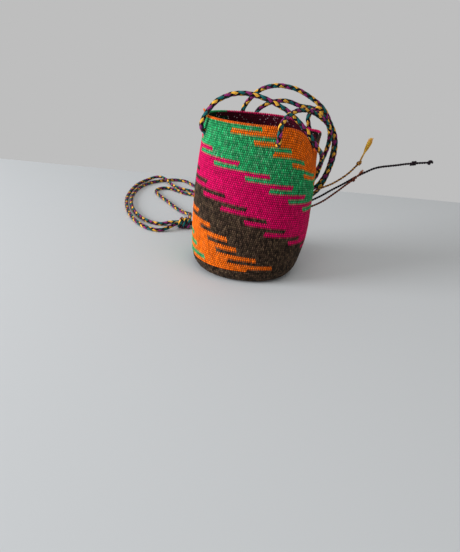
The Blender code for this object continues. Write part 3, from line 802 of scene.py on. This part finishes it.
def wrap_frame():
    turn = math.radians(WRAP_HEADING)
    along = Vector((math.cos(turn), math.sin(turn), 0.0))
    across = Vector((-math.sin(turn), math.cos(turn), 0.0))
    middle = Vector((WRAP_X, WRAP_Y, wrap_reach() + CORD / 2 + GAP / 2))
    return middle, along, across


def wrap_reach():
    return CORD + WRAP_GAPS * GAP


def wrap_loop_point(turns):
    """Across and up, on the winding's line round both strands, from its top towards the front."""
    reach = wrap_reach()
    straight = STRAND_SPACING
    bend = math.pi * reach
    along = (turns % 1.0) * 2 * (straight + bend)
    if along < straight / 2:
        return -along, reach
    along -= straight / 2
    if along < bend:
        turn = math.pi / 2 + along / reach
        return -straight / 2 + reach * math.cos(turn), reach * math.sin(turn)
    along -= bend
    if along < straight:
        return -straight / 2 + along, -reach
    along -= straight
    if along < bend:
        turn = -math.pi / 2 + along / reach
        return straight / 2 + reach * math.cos(turn), reach * math.sin(turn)
    return straight / 2 - (along - bend), reach


def beside_wrap(along_by, across_by, up_by=0.0):
    middle, along, across = wrap_frame()
    return middle + along * along_by + across * across_by + Vector((0.0, 0.0, up_by))


def keeper_start():
    return beside_wrap(WRAP_PITCH * WRAP_LOOPS / 2, WRAP_STRAIGHT * CORD, wrap_reach())


def stand_in(thing, node, body="bag"):
    """The piece moves with the body, and stands for the model's solid."""
    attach(thing, body)
    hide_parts(node)


def declare(thing, node, body="bag"):
    """The piece moves with the body, and stands for the model's cord."""
    stand_in(thing, node, body)


def make_mouth_cords(material):
    left = top_end(CORD_SPACING, 255, CORD) + metres(LOOP_A_ROUTE) + through_eyelet("left")
    left += metres(INSIDE_LEFT_ROUTE) + through_eyelet("back_left")[::-1] + metres(LOOP_B_ROUTE)
    left += top_end(CORD_SPACING, 75, CORD)[::-1]
    thing, path = braid("mouth_cord_left_braid", left, material, 0.009, 11, OTHER_ORDER)
    declare(thing, "mouth_cord_left")
    right = top_end(CORD_SPACING, 195, CORD) + metres(LOOP_D_ROUTE) + through_eyelet("front")
    right += metres(INSIDE_RIGHT_ROUTE) + through_eyelet("back")[::-1] + metres(LOOP_C_ROUTE)
    right += top_end(CORD_SPACING, 135, CORD)[::-1]
    thing, path = braid("mouth_cord_right_braid", right, material, 0.008, 12)
    declare(thing, "mouth_cord_right")


def make_side_cord(material):
    middle, axis = eyelet_frame("back_right")
    stopper = middle - axis * (STOPPER_AWAY * CORD)
    end = stopper + axis * (STOPPER_RADIUS + GAP)
    inner = [middle + axis * (CORD * share) for share in EYELET_SHARES[:3]] + [end]
    side = top_end(0.0, 0, CORD) + metres(SIDE_CORD_ROUTE) + inner
    knot = stopper_knot("side_cord_stopper", stopper, axis, material)
    stand_in(knot, "side_cord_knot")
    thing, path = braid("side_cord_braid", side, material, 0.008, 13, OTHER_ORDER)
    declare(thing, "side_cord")


def knot_path(middle, axis, outer, tube_radius):
    """A pulled overhand knot's closed line, flat across its axis."""
    axis = axis.normalized()
    across, other = cross_axes(axis)
    size = (outer - tube_radius) / 3
    count = 72
    path = []
    for i in range(count + 1):
        t = 2 * math.pi * i / count
        x = math.sin(t) + 2 * math.sin(2 * t)
        y = math.cos(t) - 2 * math.cos(2 * t)
        z = -math.sin(3 * t)
        path.append(middle + (across * x + other * y + axis * z) * size)
    return as_rows(path)


def stopper_knot(name, middle, axis, material):
    strands = Strands()
    path = knot_path(middle, axis, STOPPER_RADIUS, STOPPER_TUBE)
    colours = (YELLOW, BLACK, PURPLE, BLACK)
    twist_into(strands, path, STOPPER_PLY, STOPPER_PLY_OUT, STOPPER_TWIST, colours)
    return strands.finish(name, material)


def make_strap(material):
    side = STRAND_SPACING / 2
    low = -CORD / 8
    near, between, far = STRAND_PLACES
    first = [beside_wrap(-near, -side, low), beside_wrap(0, -side), beside_wrap(near, -side)]
    first += [beside_wrap(between, -side), beside_wrap(far, -side, low)]
    second = [beside_wrap(far, side, low), beside_wrap(between, side), beside_wrap(near, side)]
    second += [beside_wrap(0, side), beside_wrap(-near, side, low)]
    route = bottom_end(90) + metres(STRAP_OUT_ROUTE) + first + metres(STRAP_BIGHT_ROUTE) + second
    route += metres(STRAP_BACK_ROUTE) + list(reversed(bottom_end(330)))
    thing, path = braid("shoulder_strap_braid", route, material, 0.002, 14, OTHER_ORDER)
    declare(thing, "shoulder_strap")


def make_keeper(material):
    across = wrap_frame()[2]
    end = keeper_start()
    lead = metres(KEEPER_LEAD_ROUTE) + [end + across * LEAD_STRAIGHT * CORD, end]
    route = bottom_end(210) + metres(KEEPER_ROUTE) + [lead[0]]
    start = 0.006
    thing, path = braid("keeper_cord_braid", route, material, start, 15)
    declare(thing, "keeper_cord")
    phase = start + lengths_along(path)[-1]
    winding = [end]
    per_loop = 24
    for i in range(round(WRAP_LOOPS * per_loop) + 1):
        turns = i / per_loop
        across_by, up_by = wrap_loop_point(turns)
        winding.append(beside_wrap(WRAP_PITCH * (WRAP_LOOPS / 2 - turns), across_by, up_by))
    winding.append(winding[-1] + across * WRAP_STRAIGHT * CORD)
    wrap, _ = braid("keeper_wrap_braid", winding, material, phase + 0.040, 16)
    stand_in(wrap, "keeper_wrap", "keeper_wrap")
    thing, path = braid("keeper_lead_braid", lead, material, phase, 17)
    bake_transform(thing)
    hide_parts("keeper_lead")


def make_bundle(material, dark_material):
    """Pressed cord ends inside a tight winding of thin cord."""
    strands = Strands()
    ends = [(CORD_SPACING, angle) for angle in (255, 75, 195, 135)] + [(0.0, 0)]
    ends += [(CORD_SPACING, angle) for angle in (15, 315)]
    for k, (radius, angle) in enumerate(ends):
        line = [bundle_point(radius, angle, bundle_top() + GAP)]
        line.append(bundle_point(radius * BUNDLE_WAIST, angle, BUNDLE_WAIST_AT))
        line.append(bundle_point(radius * BUNDLE_FOOT, angle, BUNDLE_BOTTOM))
        braid_into(strands, as_rows(smooth_route(line, FINE_STEP)), 0.003 * k, 30 + k)
    stand_in(strands.finish("cord_bundle_ends", material), "cord_bundle")
    radius = BUNDLE_RADIUS + GAP + BINDING / 2
    first = BUNDLE_BOTTOM + (BUNDLE_LENGTH - BINDING_PITCH * BINDING_LOOPS) / 2
    per_loop = 48
    path = []
    for i in range(BINDING_LOOPS * per_loop + 1):
        height = first + BINDING_PITCH * i / per_loop
        path.append(bundle_point(radius, 360.0 * i / per_loop, height))
    path = [path[0] + (path[0] - path[1]).normalized() * BINDING] + path
    path.append(path[-1] + (path[-1] - path[-2]).normalized() * BINDING)
    strands = Strands()
    colours = (BLACK, RUST * 0.5)
    twist_into(strands, as_rows(path), BINDING_PLY, BINDING_PLY_OUT, BINDING_TWIST, colours)
    stand_in(strands.finish("bundle_binding_cord", dark_material), "bundle_binding")


def make_tails(material):
    at = {name: Vector(place) * MM for name, place in TAIL_PLACES.items()}
    reach = TAIL_KNOT_RADIUS + 2 * GAP
    tails = [
        ("yellow", 8, YELLOW_TAIL_ROUTE, (OCHRE, UMBER), YELLOW_PLY, 1.0),
        ("black", -24, BLACK_TAIL_ROUTE, SOOT, BLACK_PLY, BLACK_KNOT_SIZE),
        ("brown", -56, BROWN_TAIL_ROUTE, CHESTNUT, BROWN_PLY, 1.0),
    ]
    made = {}
    for name, angle, route, colours, ply, size in tails:
        node, middle = name + "_knot", at[name + "_knot"]
        points = top_end(TAIL_RING_RADIUS, angle, TAIL) + metres(route)
        way = (middle - points[-1]).normalized()
        end = middle - way * (TAIL_KNOT_RADIUS + GAP)
        path = even_path(points + [end - way * 1.2 * TAIL, end], TAIL_STEP)
        strands = Strands()
        twist_into(strands, path, ply, ply * PLY_OUT, TAIL_TWIST, colours)
        tail = strands.finish(name + "_tail_cord", material)
        made[name] = (tail, path, [tail_knot(node, middle, way, colours, ply, material, size)])
    fringes = [
        ("yellow", "yellow_tassel", "tassel_to", TASSEL_RADIUS, 34, (YELLOW, OCHRE), 5),
        ("brown", "brown_tuft", "brown_tuft", TUFT_RADIUS, 18, (TUFT, CHESTNUT[1]), 6),
    ]
    for name, node, end, radius, count, colours, seed in fringes:
        knot = at[name + "_knot"]
        start = knot + (at[end] - knot).normalized() * reach
        strands = Strands()
        fringe(strands, start, at[end], radius, count, colours, seed)
        yarns = strands.finish(node + "_yarns", material)
        stand_in(yarns, node, "loose_tails")
        made[name][2].append(yarns)
    link = (at["black_end"] - at["black_knot"]).normalized()
    ends = [at["black_knot"] + link * reach, at["black_end"] - link * reach]
    strands = Strands()
    path = even_path([ends[0], (ends[0] + ends[1]) / 2, ends[1]], TAIL_STEP)
    twist_into(strands, path, BLACK_PLY, BLACK_TIP_OUT, TAIL_TWIST, SOOT)
    tip = strands.finish("black_tail_tip_cord", material)
    stand_in(tip, "black_tail_tip", "loose_tails")
    knot = tail_knot("black_end_knot", at["black_end"], link, SOOT, BLACK_PLY, material, 1.0)
    made["black"][2].extend([tip, knot])
    for name, (tail, path, pieces) in made.items():
        node = name + "_tail"
        declare(tail, node, "loose_tails")


def tail_knot(node, middle, way, colours, ply, material, size):
    """A pulled knot: slanting turns of the tail's own cord, with the cord through them."""
    strands = Strands()
    across, other = cross_axes(way)
    reach, out = ply * KNOT_LENGTH * size**2, ply * KNOT_OUT
    line = []
    for i in range(2 * KNOT_STEPS + 1):
        share = i / KNOT_STEPS - 1
        angle = math.pi * KNOT_TURNS * size * share
        slant = KNOT_SLANT * math.cos(angle)
        aside = across * math.cos(angle) + other * math.sin(angle)
        line.append(middle + way * (reach * share * KNOT_SPREAD + out * slant) + aside * out)
    twist_into(strands, as_rows(line), ply * KNOT_PLY, ply * KNOT_PLY_OUT, KNOT_TWIST, colours)
    end = way * (TAIL_KNOT_RADIUS + 3 * GAP)
    core = even_path([middle - end, middle, middle + end], TAIL_STEP)
    twist_into(strands, core, ply, ply * PLY_OUT, TAIL_TWIST, colours)
    knot = strands.finish(node + "_cord", material)
    stand_in(knot, node, "loose_tails")
    return knot


def fringe(strands, start, end, radius, count, colours, seed):
    """A bound neck, and loose yarns that spread from it."""
    rng = random.Random(seed)
    axis = end - start
    across, other = cross_axes(axis.normalized())

    def outwards(turn):
        return across * math.cos(turn) + other * math.sin(turn)

    for k in range(count):
        out = outwards(2 * math.pi * k / count * FRINGE_TURNS + rng.uniform(-0.2, 0.2))
        share = math.sqrt((k + 0.5) / count)
        reach = radius * (0.45 + 0.4 * share) * rng.uniform(0.85, 1.0)
        tip = rng.uniform(0.84, 1.1)
        points = [
            start + out * (radius * 0.2 * share),
            start + axis * FRINGE_NECK + out * (radius * 0.22 * share),
            start + axis * (FRINGE_NECK + FRINGE_OPENS) + out * (reach * 0.75 * share),
            start + axis * FRINGE_WIDEST * tip + out * (reach * share),
            start + axis * tip + out * (reach * share * rng.uniform(0.7, 1.35)),
        ]
        colour = colours[k % len(colours)] * rng.uniform(0.8, 1.15)
        path = as_rows(smooth_route(points, FRINGE_STEP))
        paler = np.linspace(1.0, FRINGE_PALER, len(path))[:, None]
        tints = np.minimum(colour * paler, 0.95)
        strands.round_tube(path, radius * FRINGE_YARN, tints, 5, 3.0 * k)
    wraps = []
    for i in range(73):
        out = outwards(2 * math.pi * i / 18)
        wraps.append(start + axis * (0.04 + 0.26 * i / 72) + out * radius * 0.26)
    strands.round_tube(as_rows(wraps), radius * FRINGE_YARN, colours[0] * 0.7, 5)


# Crocheted fabric

RIGHT_TIPS = {
    "green": [(0, 27.75), (1, 32.75), (2, 38.5), (3, 44), (4, 51), (14, 118.5), (15, 121),
              (17, 129)],
    "orange": [(0, 58), (11, 120.75), (12, 126.5), (13, 132.75), (14, 136.5), (15, 143.25),
               (17, 156)],
    "brown": [(0, 66), (6, 118), (7, 123.25), (8, 130.75), (9, 138.25), (10, 144.75), (11, 151.5),
              (12, 157.75), (17, 192)],
    "magenta": [(0, 103), (3, 123.75), (4, 134), (5, 144), (6, 152.25), (7, 157.75), (17, 225)],
}
LEFT_TIPS = {
    "green": [(0.5, 17.75), (1.5, 25.75), (2.5, 32.5), (3.5, 39), (4.5, 44), (13.5, 105),
              (14.5, 112), (16.5, 118)],
    "orange": [(0.5, 54.5), (11.5, 115), (12.5, 122.5), (13.5, 126), (14.5, 129.5), (15.5, 134),
               (16.5, 141)],
    "brown": [(0.5, 61), (7.5, 115.5), (8.5, 122.5), (9.5, 129.75), (10.5, 137.75), (11.5, 144.5),
              (12.5, 153), (16.5, 181)],
    "magenta": [(0.5, 97), (2.5, 110), (3.5, 117.25), (4.5, 125.25), (5.5, 136.5), (6.5, 144.5),
                (7.5, 151), (8.5, 157.25), (16.5, 212)],
}
DRY_FIBRE_AND_HIGHLIGHT = {
    "green": srgb(170, 215, 180),
    "orange": srgb(245, 190, 120),
    "brown": srgb(170, 140, 105),
    "magenta": srgb(235, 120, 170),
}
BAND_COLOURS = {"green": GREEN, "orange": ORANGE, "brown": BROWN, "magenta": MAGENTA}
DEEPEST = 0.35
PALEST = 2.2
SHADE_SPREAD = {"brown": 0.66, "green": 0.3, "orange": 0.2, "magenta": 0.16}
DRY_AND_HIGHLIGHT_SPREAD = {"brown": 0.09, "green": 0.1, "orange": 0.04, "magenta": 0.02}


def band_ends(row):
    """For each band, the place where it ends in this row, with fingers two rows high."""
    half_step = (row + 1) // 2
    tips = LEFT_TIPS if half_step % 2 else RIGHT_TIPS
    return {name: float(np.interp(half_step / 2, *zip(*points))) for name, points in tips.items()}


def band_at(place, ends):
    """Name of the band at a place round the bag."""
    start = ends["magenta"] - PLACES
    place = (place - start) % PLACES + start
    for name in BAND_COLOURS:
        if place < ends[name]:
            return name
    return "green"


def stitch_angles():
    """The angle at every quarter stitch, at even steps round the bag, from its left side."""
    fine = np.linspace(180.0, 540.0, 3601)
    ring = np.array([tuple(wall_point(BAG_HEIGHT / 2, a))[:2] for a in fine])
    along = lengths_along(ring)
    count = STITCHES * STITCH_COLUMNS
    return np.interp(np.arange(count) / count * along[-1], along, fine)


def row_height(row, place):
    """Height of a row's upper edge: rows run slightly lower to the right, as in hand work."""
    share = row / ROWS
    top, bottom = wall_top(), BASE_BAND_HEIGHT + GAP
    if share <= 0:
        return top - (top - bottom) * share
    lean = ROW_LEAN * math.sin(math.pi * share**ROW_LEAN_RISE)
    lean *= math.sin(2 * math.pi * (place - ROW_LEAN_FROM) / PLACES)
    return top - (top - bottom) * min(max(share + lean, 0.0), 1.0)


def grid_normals(points):
    around = np.roll(points, -1, axis=1) - np.roll(points, 1, axis=1)
    down = np.gradient(points, axis=0)
    normals = np.cross(around, -down)
    return normals / np.linalg.norm(normals, axis=2)[:, :, None]


def grid_mesh(name, points, tints, relief, places, material, keep=None, flip=False):
    """A closed-round grid of quads, with a colour for each face, and a depth for each vertex."""
    rows, columns = points.shape[:2]
    i = np.arange(rows - 1)[:, None] * columns
    j = np.arange(columns)[None, :]
    k = (j + 1) % columns
    quads = np.stack([i + j, i + columns + j, i + columns + k, i + k], axis=2).reshape(-1, 4)
    tints = tints.reshape(-1, 3)
    corner_places = np.empty((rows - 1, columns, 4, 2))
    u, v = places
    u = np.append(u, 2 * u[-1] - u[-2])
    for corner, (right, lower) in enumerate(((0, 0), (0, 1), (1, 1), (1, 0))):
        corner_places[:, :, corner, 0] = u[right : right + columns][None, :]
        corner_places[:, :, corner, 1] = v[lower : lower + rows - 1][:, None]
    corner_places = corner_places.reshape(-1, 4, 2)
    if flip:
        quads = quads[:, ::-1]
        corner_places = corner_places[:, ::-1]
    if keep is not None:
        keep = keep.reshape(-1)
        quads, tints, corner_places = quads[keep], tints[keep], corner_places[keep]
    data = bpy.data.meshes.new(name)
    data.from_pydata(points.reshape(-1, 3).tolist(), [], quads.tolist())
    values = np.ones((len(quads), 4, 4), np.float32)
    values[:, :, :3] = tints[:, None, :]
    tint = data.attributes.new("tint", "FLOAT_COLOR", "CORNER")
    tint.data.foreach_set("color", values.ravel())
    depth = data.attributes.new("relief", "FLOAT", "POINT")
    depth.data.foreach_set("value", relief.reshape(-1).astype(np.float32))
    layer = data.uv_layers.new(name="stitches")
    layer.data.foreach_set("uv", corner_places.astype(np.float32).ravel())
    data.shade_smooth()
    data.materials.append(material)
    return add_object(name, data)


def stitch_relief(sub_row, column, steps, columns_each):
    """From 0 in the grooves to 1 on a stitch's crown; every second row is half a stitch along."""
    row, part = divmod(sub_row, steps)
    across = (column / columns_each + 0.5 * (row % 2)) % 1.0
    if part == 0:
        return 0.28 * abs(math.cos(math.pi * across)) ** 1.5
    crown = max(0.0, math.sin(math.pi * across)) ** 0.7
    return crown if part > 1 else 0.85 * crown + 0.12


def stitch_colours(rng):
    """Each stitch's colour, row by row from under the edging, in its band's colour and uneven."""
    rows = ROWS + ROWS_UNDER_EDGING
    colours = np.empty((rows, STITCHES, 3))
    for i in range(rows):
        row = i - ROWS_UNDER_EDGING
        ends = band_ends(row)
        for stitch in range(STITCHES):
            name = band_at((stitch + 0.5 - 0.5 * (row % 2)) * PLACES / STITCHES, ends)
            colours[i, stitch] = uneven(name, rng)
    return colours


def uneven(name, rng):
    """A band's yarn as spun by hand: some stitches deeper, some paler with dry fibres and painted
    fibre highlights.
    """
    light = math.exp(rng.normal(0.0, SHADE_SPREAD[name]))
    pale = max(0.0, rng.normal(0.0, DRY_AND_HIGHLIGHT_SPREAD[name]))
    yarn = BAND_COLOURS[name] * min(max(light, DEEPEST), PALEST)
    return yarn * (1 - pale) + DRY_FIBRE_AND_HIGHLIGHT[name] * pale


def face_colours(colours, steps, columns_each, first_row):
    """Stitch colours on the grid; between two stitches, the one above reaches down past its row."""
    count = STITCHES * columns_each
    rows = len(colours)
    made = np.empty((rows * steps, count, 3))
    columns = np.arange(count)
    for sub_row in range(rows * steps):
        i, part = divmod(sub_row, steps)
        row = i + first_row
        shifted = columns + (columns_each // 2) * (row % 2)
        made[sub_row] = colours[i, (shifted // columns_each) % STITCHES]
        if i > 0 and part < steps - 1 and columns_each > 2:
            between = (shifted % columns_each == 0) | (shifted % columns_each == columns_each - 1)
            above = columns + (columns_each // 2) * ((row - 1) % 2)
            made[sub_row, between] = colours[i - 1, (above // columns_each) % STITCHES][between]
    return made


def fabric_grid(angles, steps, columns_each, outward):
    """Points and relief of the wall's fabric, from under the edging down to the foot."""
    sub_rows = (ROWS + ROWS_UNDER_EDGING) * steps
    points = np.empty((sub_rows + 1, len(angles), 3))
    relief = np.empty((sub_rows + 1, len(angles)))
    for i in range(sub_rows + 1):
        sub_row = i - ROWS_UNDER_EDGING * steps
        for j, angle in enumerate(angles):
            place = j / columns_each * PLACES / STITCHES
            points[i, j] = wall_point(row_height(sub_row / steps, place), angle, outward)
            relief[i, j] = stitch_relief(sub_row, j, steps, columns_each)
    return points, relief


def make_wall(material):
    rng = np.random.default_rng(7)
    angles = stitch_angles()
    points, relief = fabric_grid(angles, ROW_STEPS, STITCH_COLUMNS, 0.0)
    sub_rows = len(points) - 1
    crowns = rng.uniform(0.8, 1.15, (sub_rows // ROW_STEPS + 1, STITCHES))
    crowns = np.repeat(np.repeat(crowns, ROW_STEPS, axis=0)[: sub_rows + 1], STITCH_COLUMNS, axis=1)
    points += grid_normals(points) * (RELIEF * (relief * crowns - RELIEF_MIDDLE))[:, :, None]
    colours = stitch_colours(rng)
    tints = face_colours(colours, ROW_STEPS, STITCH_COLUMNS, -ROWS_UNDER_EDGING)
    keep = away_from_eyelets(points)
    around = np.arange(len(angles)) / STITCH_COLUMNS
    half = (sub_rows // 2 // ROW_STEPS) * ROW_STEPS
    for name, low, high in (("upper", 0, half), ("lower", half, sub_rows)):
        rows, faces = slice(low, high + 1), slice(low, high)
        places = (around, np.arange(low, high + 1) / ROW_STEPS)
        part = grid_mesh(
            "wall_stitches_" + name, points[rows], tints[faces], relief[rows], places, material,
            keep[faces],
        )
        stand_in(part, "bag_wall")
    return colours


def away_from_eyelets(points):
    """Which faces of the grid stay, outside the holes."""
    middle = (points[:-1] + points[1:]) / 2
    middle = (middle + np.roll(middle, -1, axis=1)) / 2
    keep = np.ones(middle.shape[:2], bool)
    for name in EYELETS:
        centre, axis = eyelet_frame(name)
        offset = middle - np.array(centre)
        along = offset @ np.array(axis)
        aside = np.linalg.norm(offset - along[:, :, None] * np.array(axis), axis=2)
        keep &= ~((aside < EYELET_RADIUS) & (np.abs(along) < EYELET_REACH))
    return keep


def make_lining(material, colours):
    """The fabric's inner side: the same bands, flatter, darkened by painted shade, with a few pale
    specks of painted light.
    """
    angles = stitch_angles()[:: STITCH_COLUMNS // LINING_COLUMNS]
    points, relief = fabric_grid(angles, LINING_STEPS, LINING_COLUMNS, -WALL)
    points -= grid_normals(points) * (LINING_RELIEF * relief)[:, :, None]
    # Painted shade: the inside's colours darkened, over a dull base tone
    painted_shade_colours = colours * LINING_PAINTED_SHADE + LINING_SHADE_BASE_TONE
    tints = face_colours(painted_shade_colours, LINING_STEPS, LINING_COLUMNS, -ROWS_UNDER_EDGING)
    rng = np.random.default_rng(10)
    # Pale specks of painted light, as if through the stitches
    painted_light_specks = rng.random(tints.shape[:2]) < PAINTED_LIGHT_SPECK_SHARE
    tints[painted_light_specks] = PAINTED_LIGHT_SPECK * rng.uniform(0.4, 1.0, (int(painted_light_specks.sum()), 1))
    keep = away_from_eyelets(points)
    places = (np.arange(len(angles)) / LINING_COLUMNS, np.arange(len(points)) / LINING_STEPS)
    lining = grid_mesh("wall_lining", points, tints, relief, places, material, keep, flip=True)
    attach(lining, "bag")


def brown_faces(rng, rows, columns, columns_each):
    """Uneven brown stitches for the foot, a row of them for each of the grid's steps."""
    made = np.empty((rows, columns, 3))
    for i in range(rows):
        row = [uneven("brown", rng) for _ in range(columns // columns_each)]
        row = np.repeat(row, columns_each, axis=0)
        made[i] = np.roll(row, -(columns_each // 2) * (i % 2), axis=0)
    return made


def make_base(material):
    """The foot: rows round its side, rings under it and on the floor inside, and a lining."""
    rng = np.random.default_rng(8)
    angles = stitch_angles()
    count = BASE_ROWS * ROW_STEPS
    points = np.empty((count + 1, len(angles), 3))
    relief = np.empty(points.shape[:2])
    for i in range(count + 1):
        for j, angle in enumerate(angles):
            points[i, j] = wall_point(BASE_BAND_HEIGHT * (1 - i / count), angle)
            relief[i, j] = stitch_relief(i, j, ROW_STEPS, STITCH_COLUMNS)
    ease = np.linspace(1.0, 0.0, len(points))[:, None, None] ** 0.5
    points += grid_normals(points) * (RELIEF * (relief - RELIEF_MIDDLE))[:, :, None] * ease
    points[:, :, 2] = np.maximum(points[:, :, 2], 0.0)
    tints = brown_faces(rng, BASE_ROWS, len(angles), STITCH_COLUMNS)
    tints = np.repeat(tints, ROW_STEPS, axis=0)
    places = (np.arange(len(angles)) / STITCH_COLUMNS, np.arange(len(points)) / ROW_STEPS)
    side = grid_mesh("base_stitches", points, tints, relief, places, material)
    stand_in(side, "bag_base")
    inner = angles[:: STITCH_COLUMNS // LINING_COLUMNS]
    disc("base_underside", 0.0, 0.0, UNDERSIDE_RELIEF, inner, rng, material)
    disc("base_floor", WALL, -WALL, -FLOOR_RELIEF, inner, rng, material)
    count = BASE_ROWS * LINING_STEPS
    top = BASE_BAND_HEIGHT + GAP
    points = np.empty((count + 1, len(inner), 3))
    relief = np.empty(points.shape[:2])
    for i in range(count + 1):
        for j, angle in enumerate(inner):
            points[i, j] = wall_point(top - (top - FLOOR_LINING_BOTTOM) * i / count, angle, -WALL)
            relief[i, j] = stitch_relief(i, j, LINING_STEPS, LINING_COLUMNS)
    # The foot's lining takes the inside's painted shade
    tints = brown_faces(rng, BASE_ROWS, len(inner), LINING_COLUMNS) * LINING_PAINTED_SHADE
    tints = np.repeat(tints, LINING_STEPS, axis=0)
    places = (np.arange(len(inner)) / LINING_COLUMNS, np.arange(len(points)) / LINING_STEPS)
    lining = grid_mesh("base_lining", points, tints, relief, places, material, flip=True)
    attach(lining, "bag")


def disc(name, height, outward, rise, angles, rng, material):
    """Rings of stitches from the foot's edge to its middle, with fewer in each smaller ring."""
    edge = [wall_point(max(height, 0.0) * 1.3, a, outward) for a in angles]
    middle = sum(edge, Vector()) / len(edge)
    count = BASE_RINGS * RING_STEPS
    points = np.empty((count + 1, len(angles), 3))
    relief = np.empty(points.shape[:2])
    tints = np.empty((count, len(angles), 3))
    for i in range(count + 1):
        share = 1 - i / count * RING_REACH
        row, part = divmod(i, RING_STEPS)
        stitches = max(6, round(STITCHES * (1 - row / BASE_RINGS)))
        shades = [uneven("brown", rng) for _ in range(stitches)]
        for j, point in enumerate(edge):
            place = (j / len(angles) * stitches + 0.5 * (row % 2)) % stitches
            crown = math.sin(math.pi * (place % 1.0)) * math.sin(math.pi * part / RING_STEPS)
            relief[i, j] = crown**0.6
            flat = middle + (point - middle) * share
            hollow = rise * (1 - relief[i, j]) if rise > 0 else -rise * relief[i, j]
            points[i, j] = (flat.x, flat.y, height + hollow)
            if i < count:
                # The floor inside takes the inside's painted shade; the underside keeps its colour
                shade = 1.0 if rise > 0 else LINING_PAINTED_SHADE
                tints[i, j] = shades[int(place) % stitches] * shade
    places = (np.arange(len(angles)) / 2, np.arange(len(points)) / RING_STEPS)
    made = grid_mesh(name, points, tints, relief, places, material, flip=rise < 0)
    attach(made, "bag")


def edging_colour(place):
    if place < 53 or place > 110:
        return ORANGE
    if place < 59.5:
        return BROWN
    return MAGENTA if place < 98 else GREEN


def make_edging(material):
    """Small loops of yarn laid over the rim, one for each stitch."""
    strands = Strands()
    rng = np.random.default_rng(9)
    angles = np.append(stitch_angles(), 540.0)
    around = np.arange(STITCHES * EDGING_STEPS + 1) / EDGING_STEPS
    fine_angle = np.interp(around, np.arange(len(angles)) / STITCH_COLUMNS, angles)
    up = Vector((0, 0, 1))
    path, core, tints = [], [], []
    shades = rng.uniform(0.75, 1.2, STITCHES + 1)
    for stitch, angle in zip(around, fine_angle):
        middle = wall_point(wall_top(), angle, -WALL / 2) + up * (2 * GAP + EDGING_HEIGHT / 2)
        wide = wall_point(wall_top(), angle, WALL) - wall_point(wall_top(), angle)
        turn = 2 * math.pi * stitch
        out = wide.normalized() * math.cos(turn) * LOOP_OUT + up * math.sin(turn) * LOOP_UP
        path.append(middle + out - up * LOOP_DROP)
        core.append(middle - up * EDGING_CORE_DROP)
        tints.append(edging_colour(stitch * PLACES / STITCHES) * shades[int(stitch)])
    tints = np.array(tints)
    strands.round_tube(as_rows(path), LOOP_YARN, tints)
    end = [wall_point(wall_top() + rise, angle, out) for angle, rise, out in YARN_END]
    strands.round_tube(even_path(end, YARN_END_STEP), YARN_END_RADIUS, ORANGE)
    core = as_rows(core[::4])
    # The core under the loops is darkened with painted shade
    strands.round_tube(core, EDGING_CORE, tints[::4] * EDGING_CORE_PAINTED_SHADE, 8)
    stand_in(strands.finish("rim_edging_loops", material), "rim_edging")


make_camera()
make_stage()
braid_yarn = yarn_material("braid_yarn", 5.0, 0.00018)
thin_yarn = yarn_material("thin_yarn", 3.0, 0.00012)
make_mouth_cords(braid_yarn)
make_side_cord(braid_yarn)
make_strap(braid_yarn)
make_keeper(braid_yarn)
make_bundle(braid_yarn, thin_yarn)
make_tails(thin_yarn)
stitches = crochet_material("crochet")
stitch_tints = make_wall(stitches)
make_lining(stitches, stitch_tints)
make_base(stitches)
make_edging(thin_yarn)
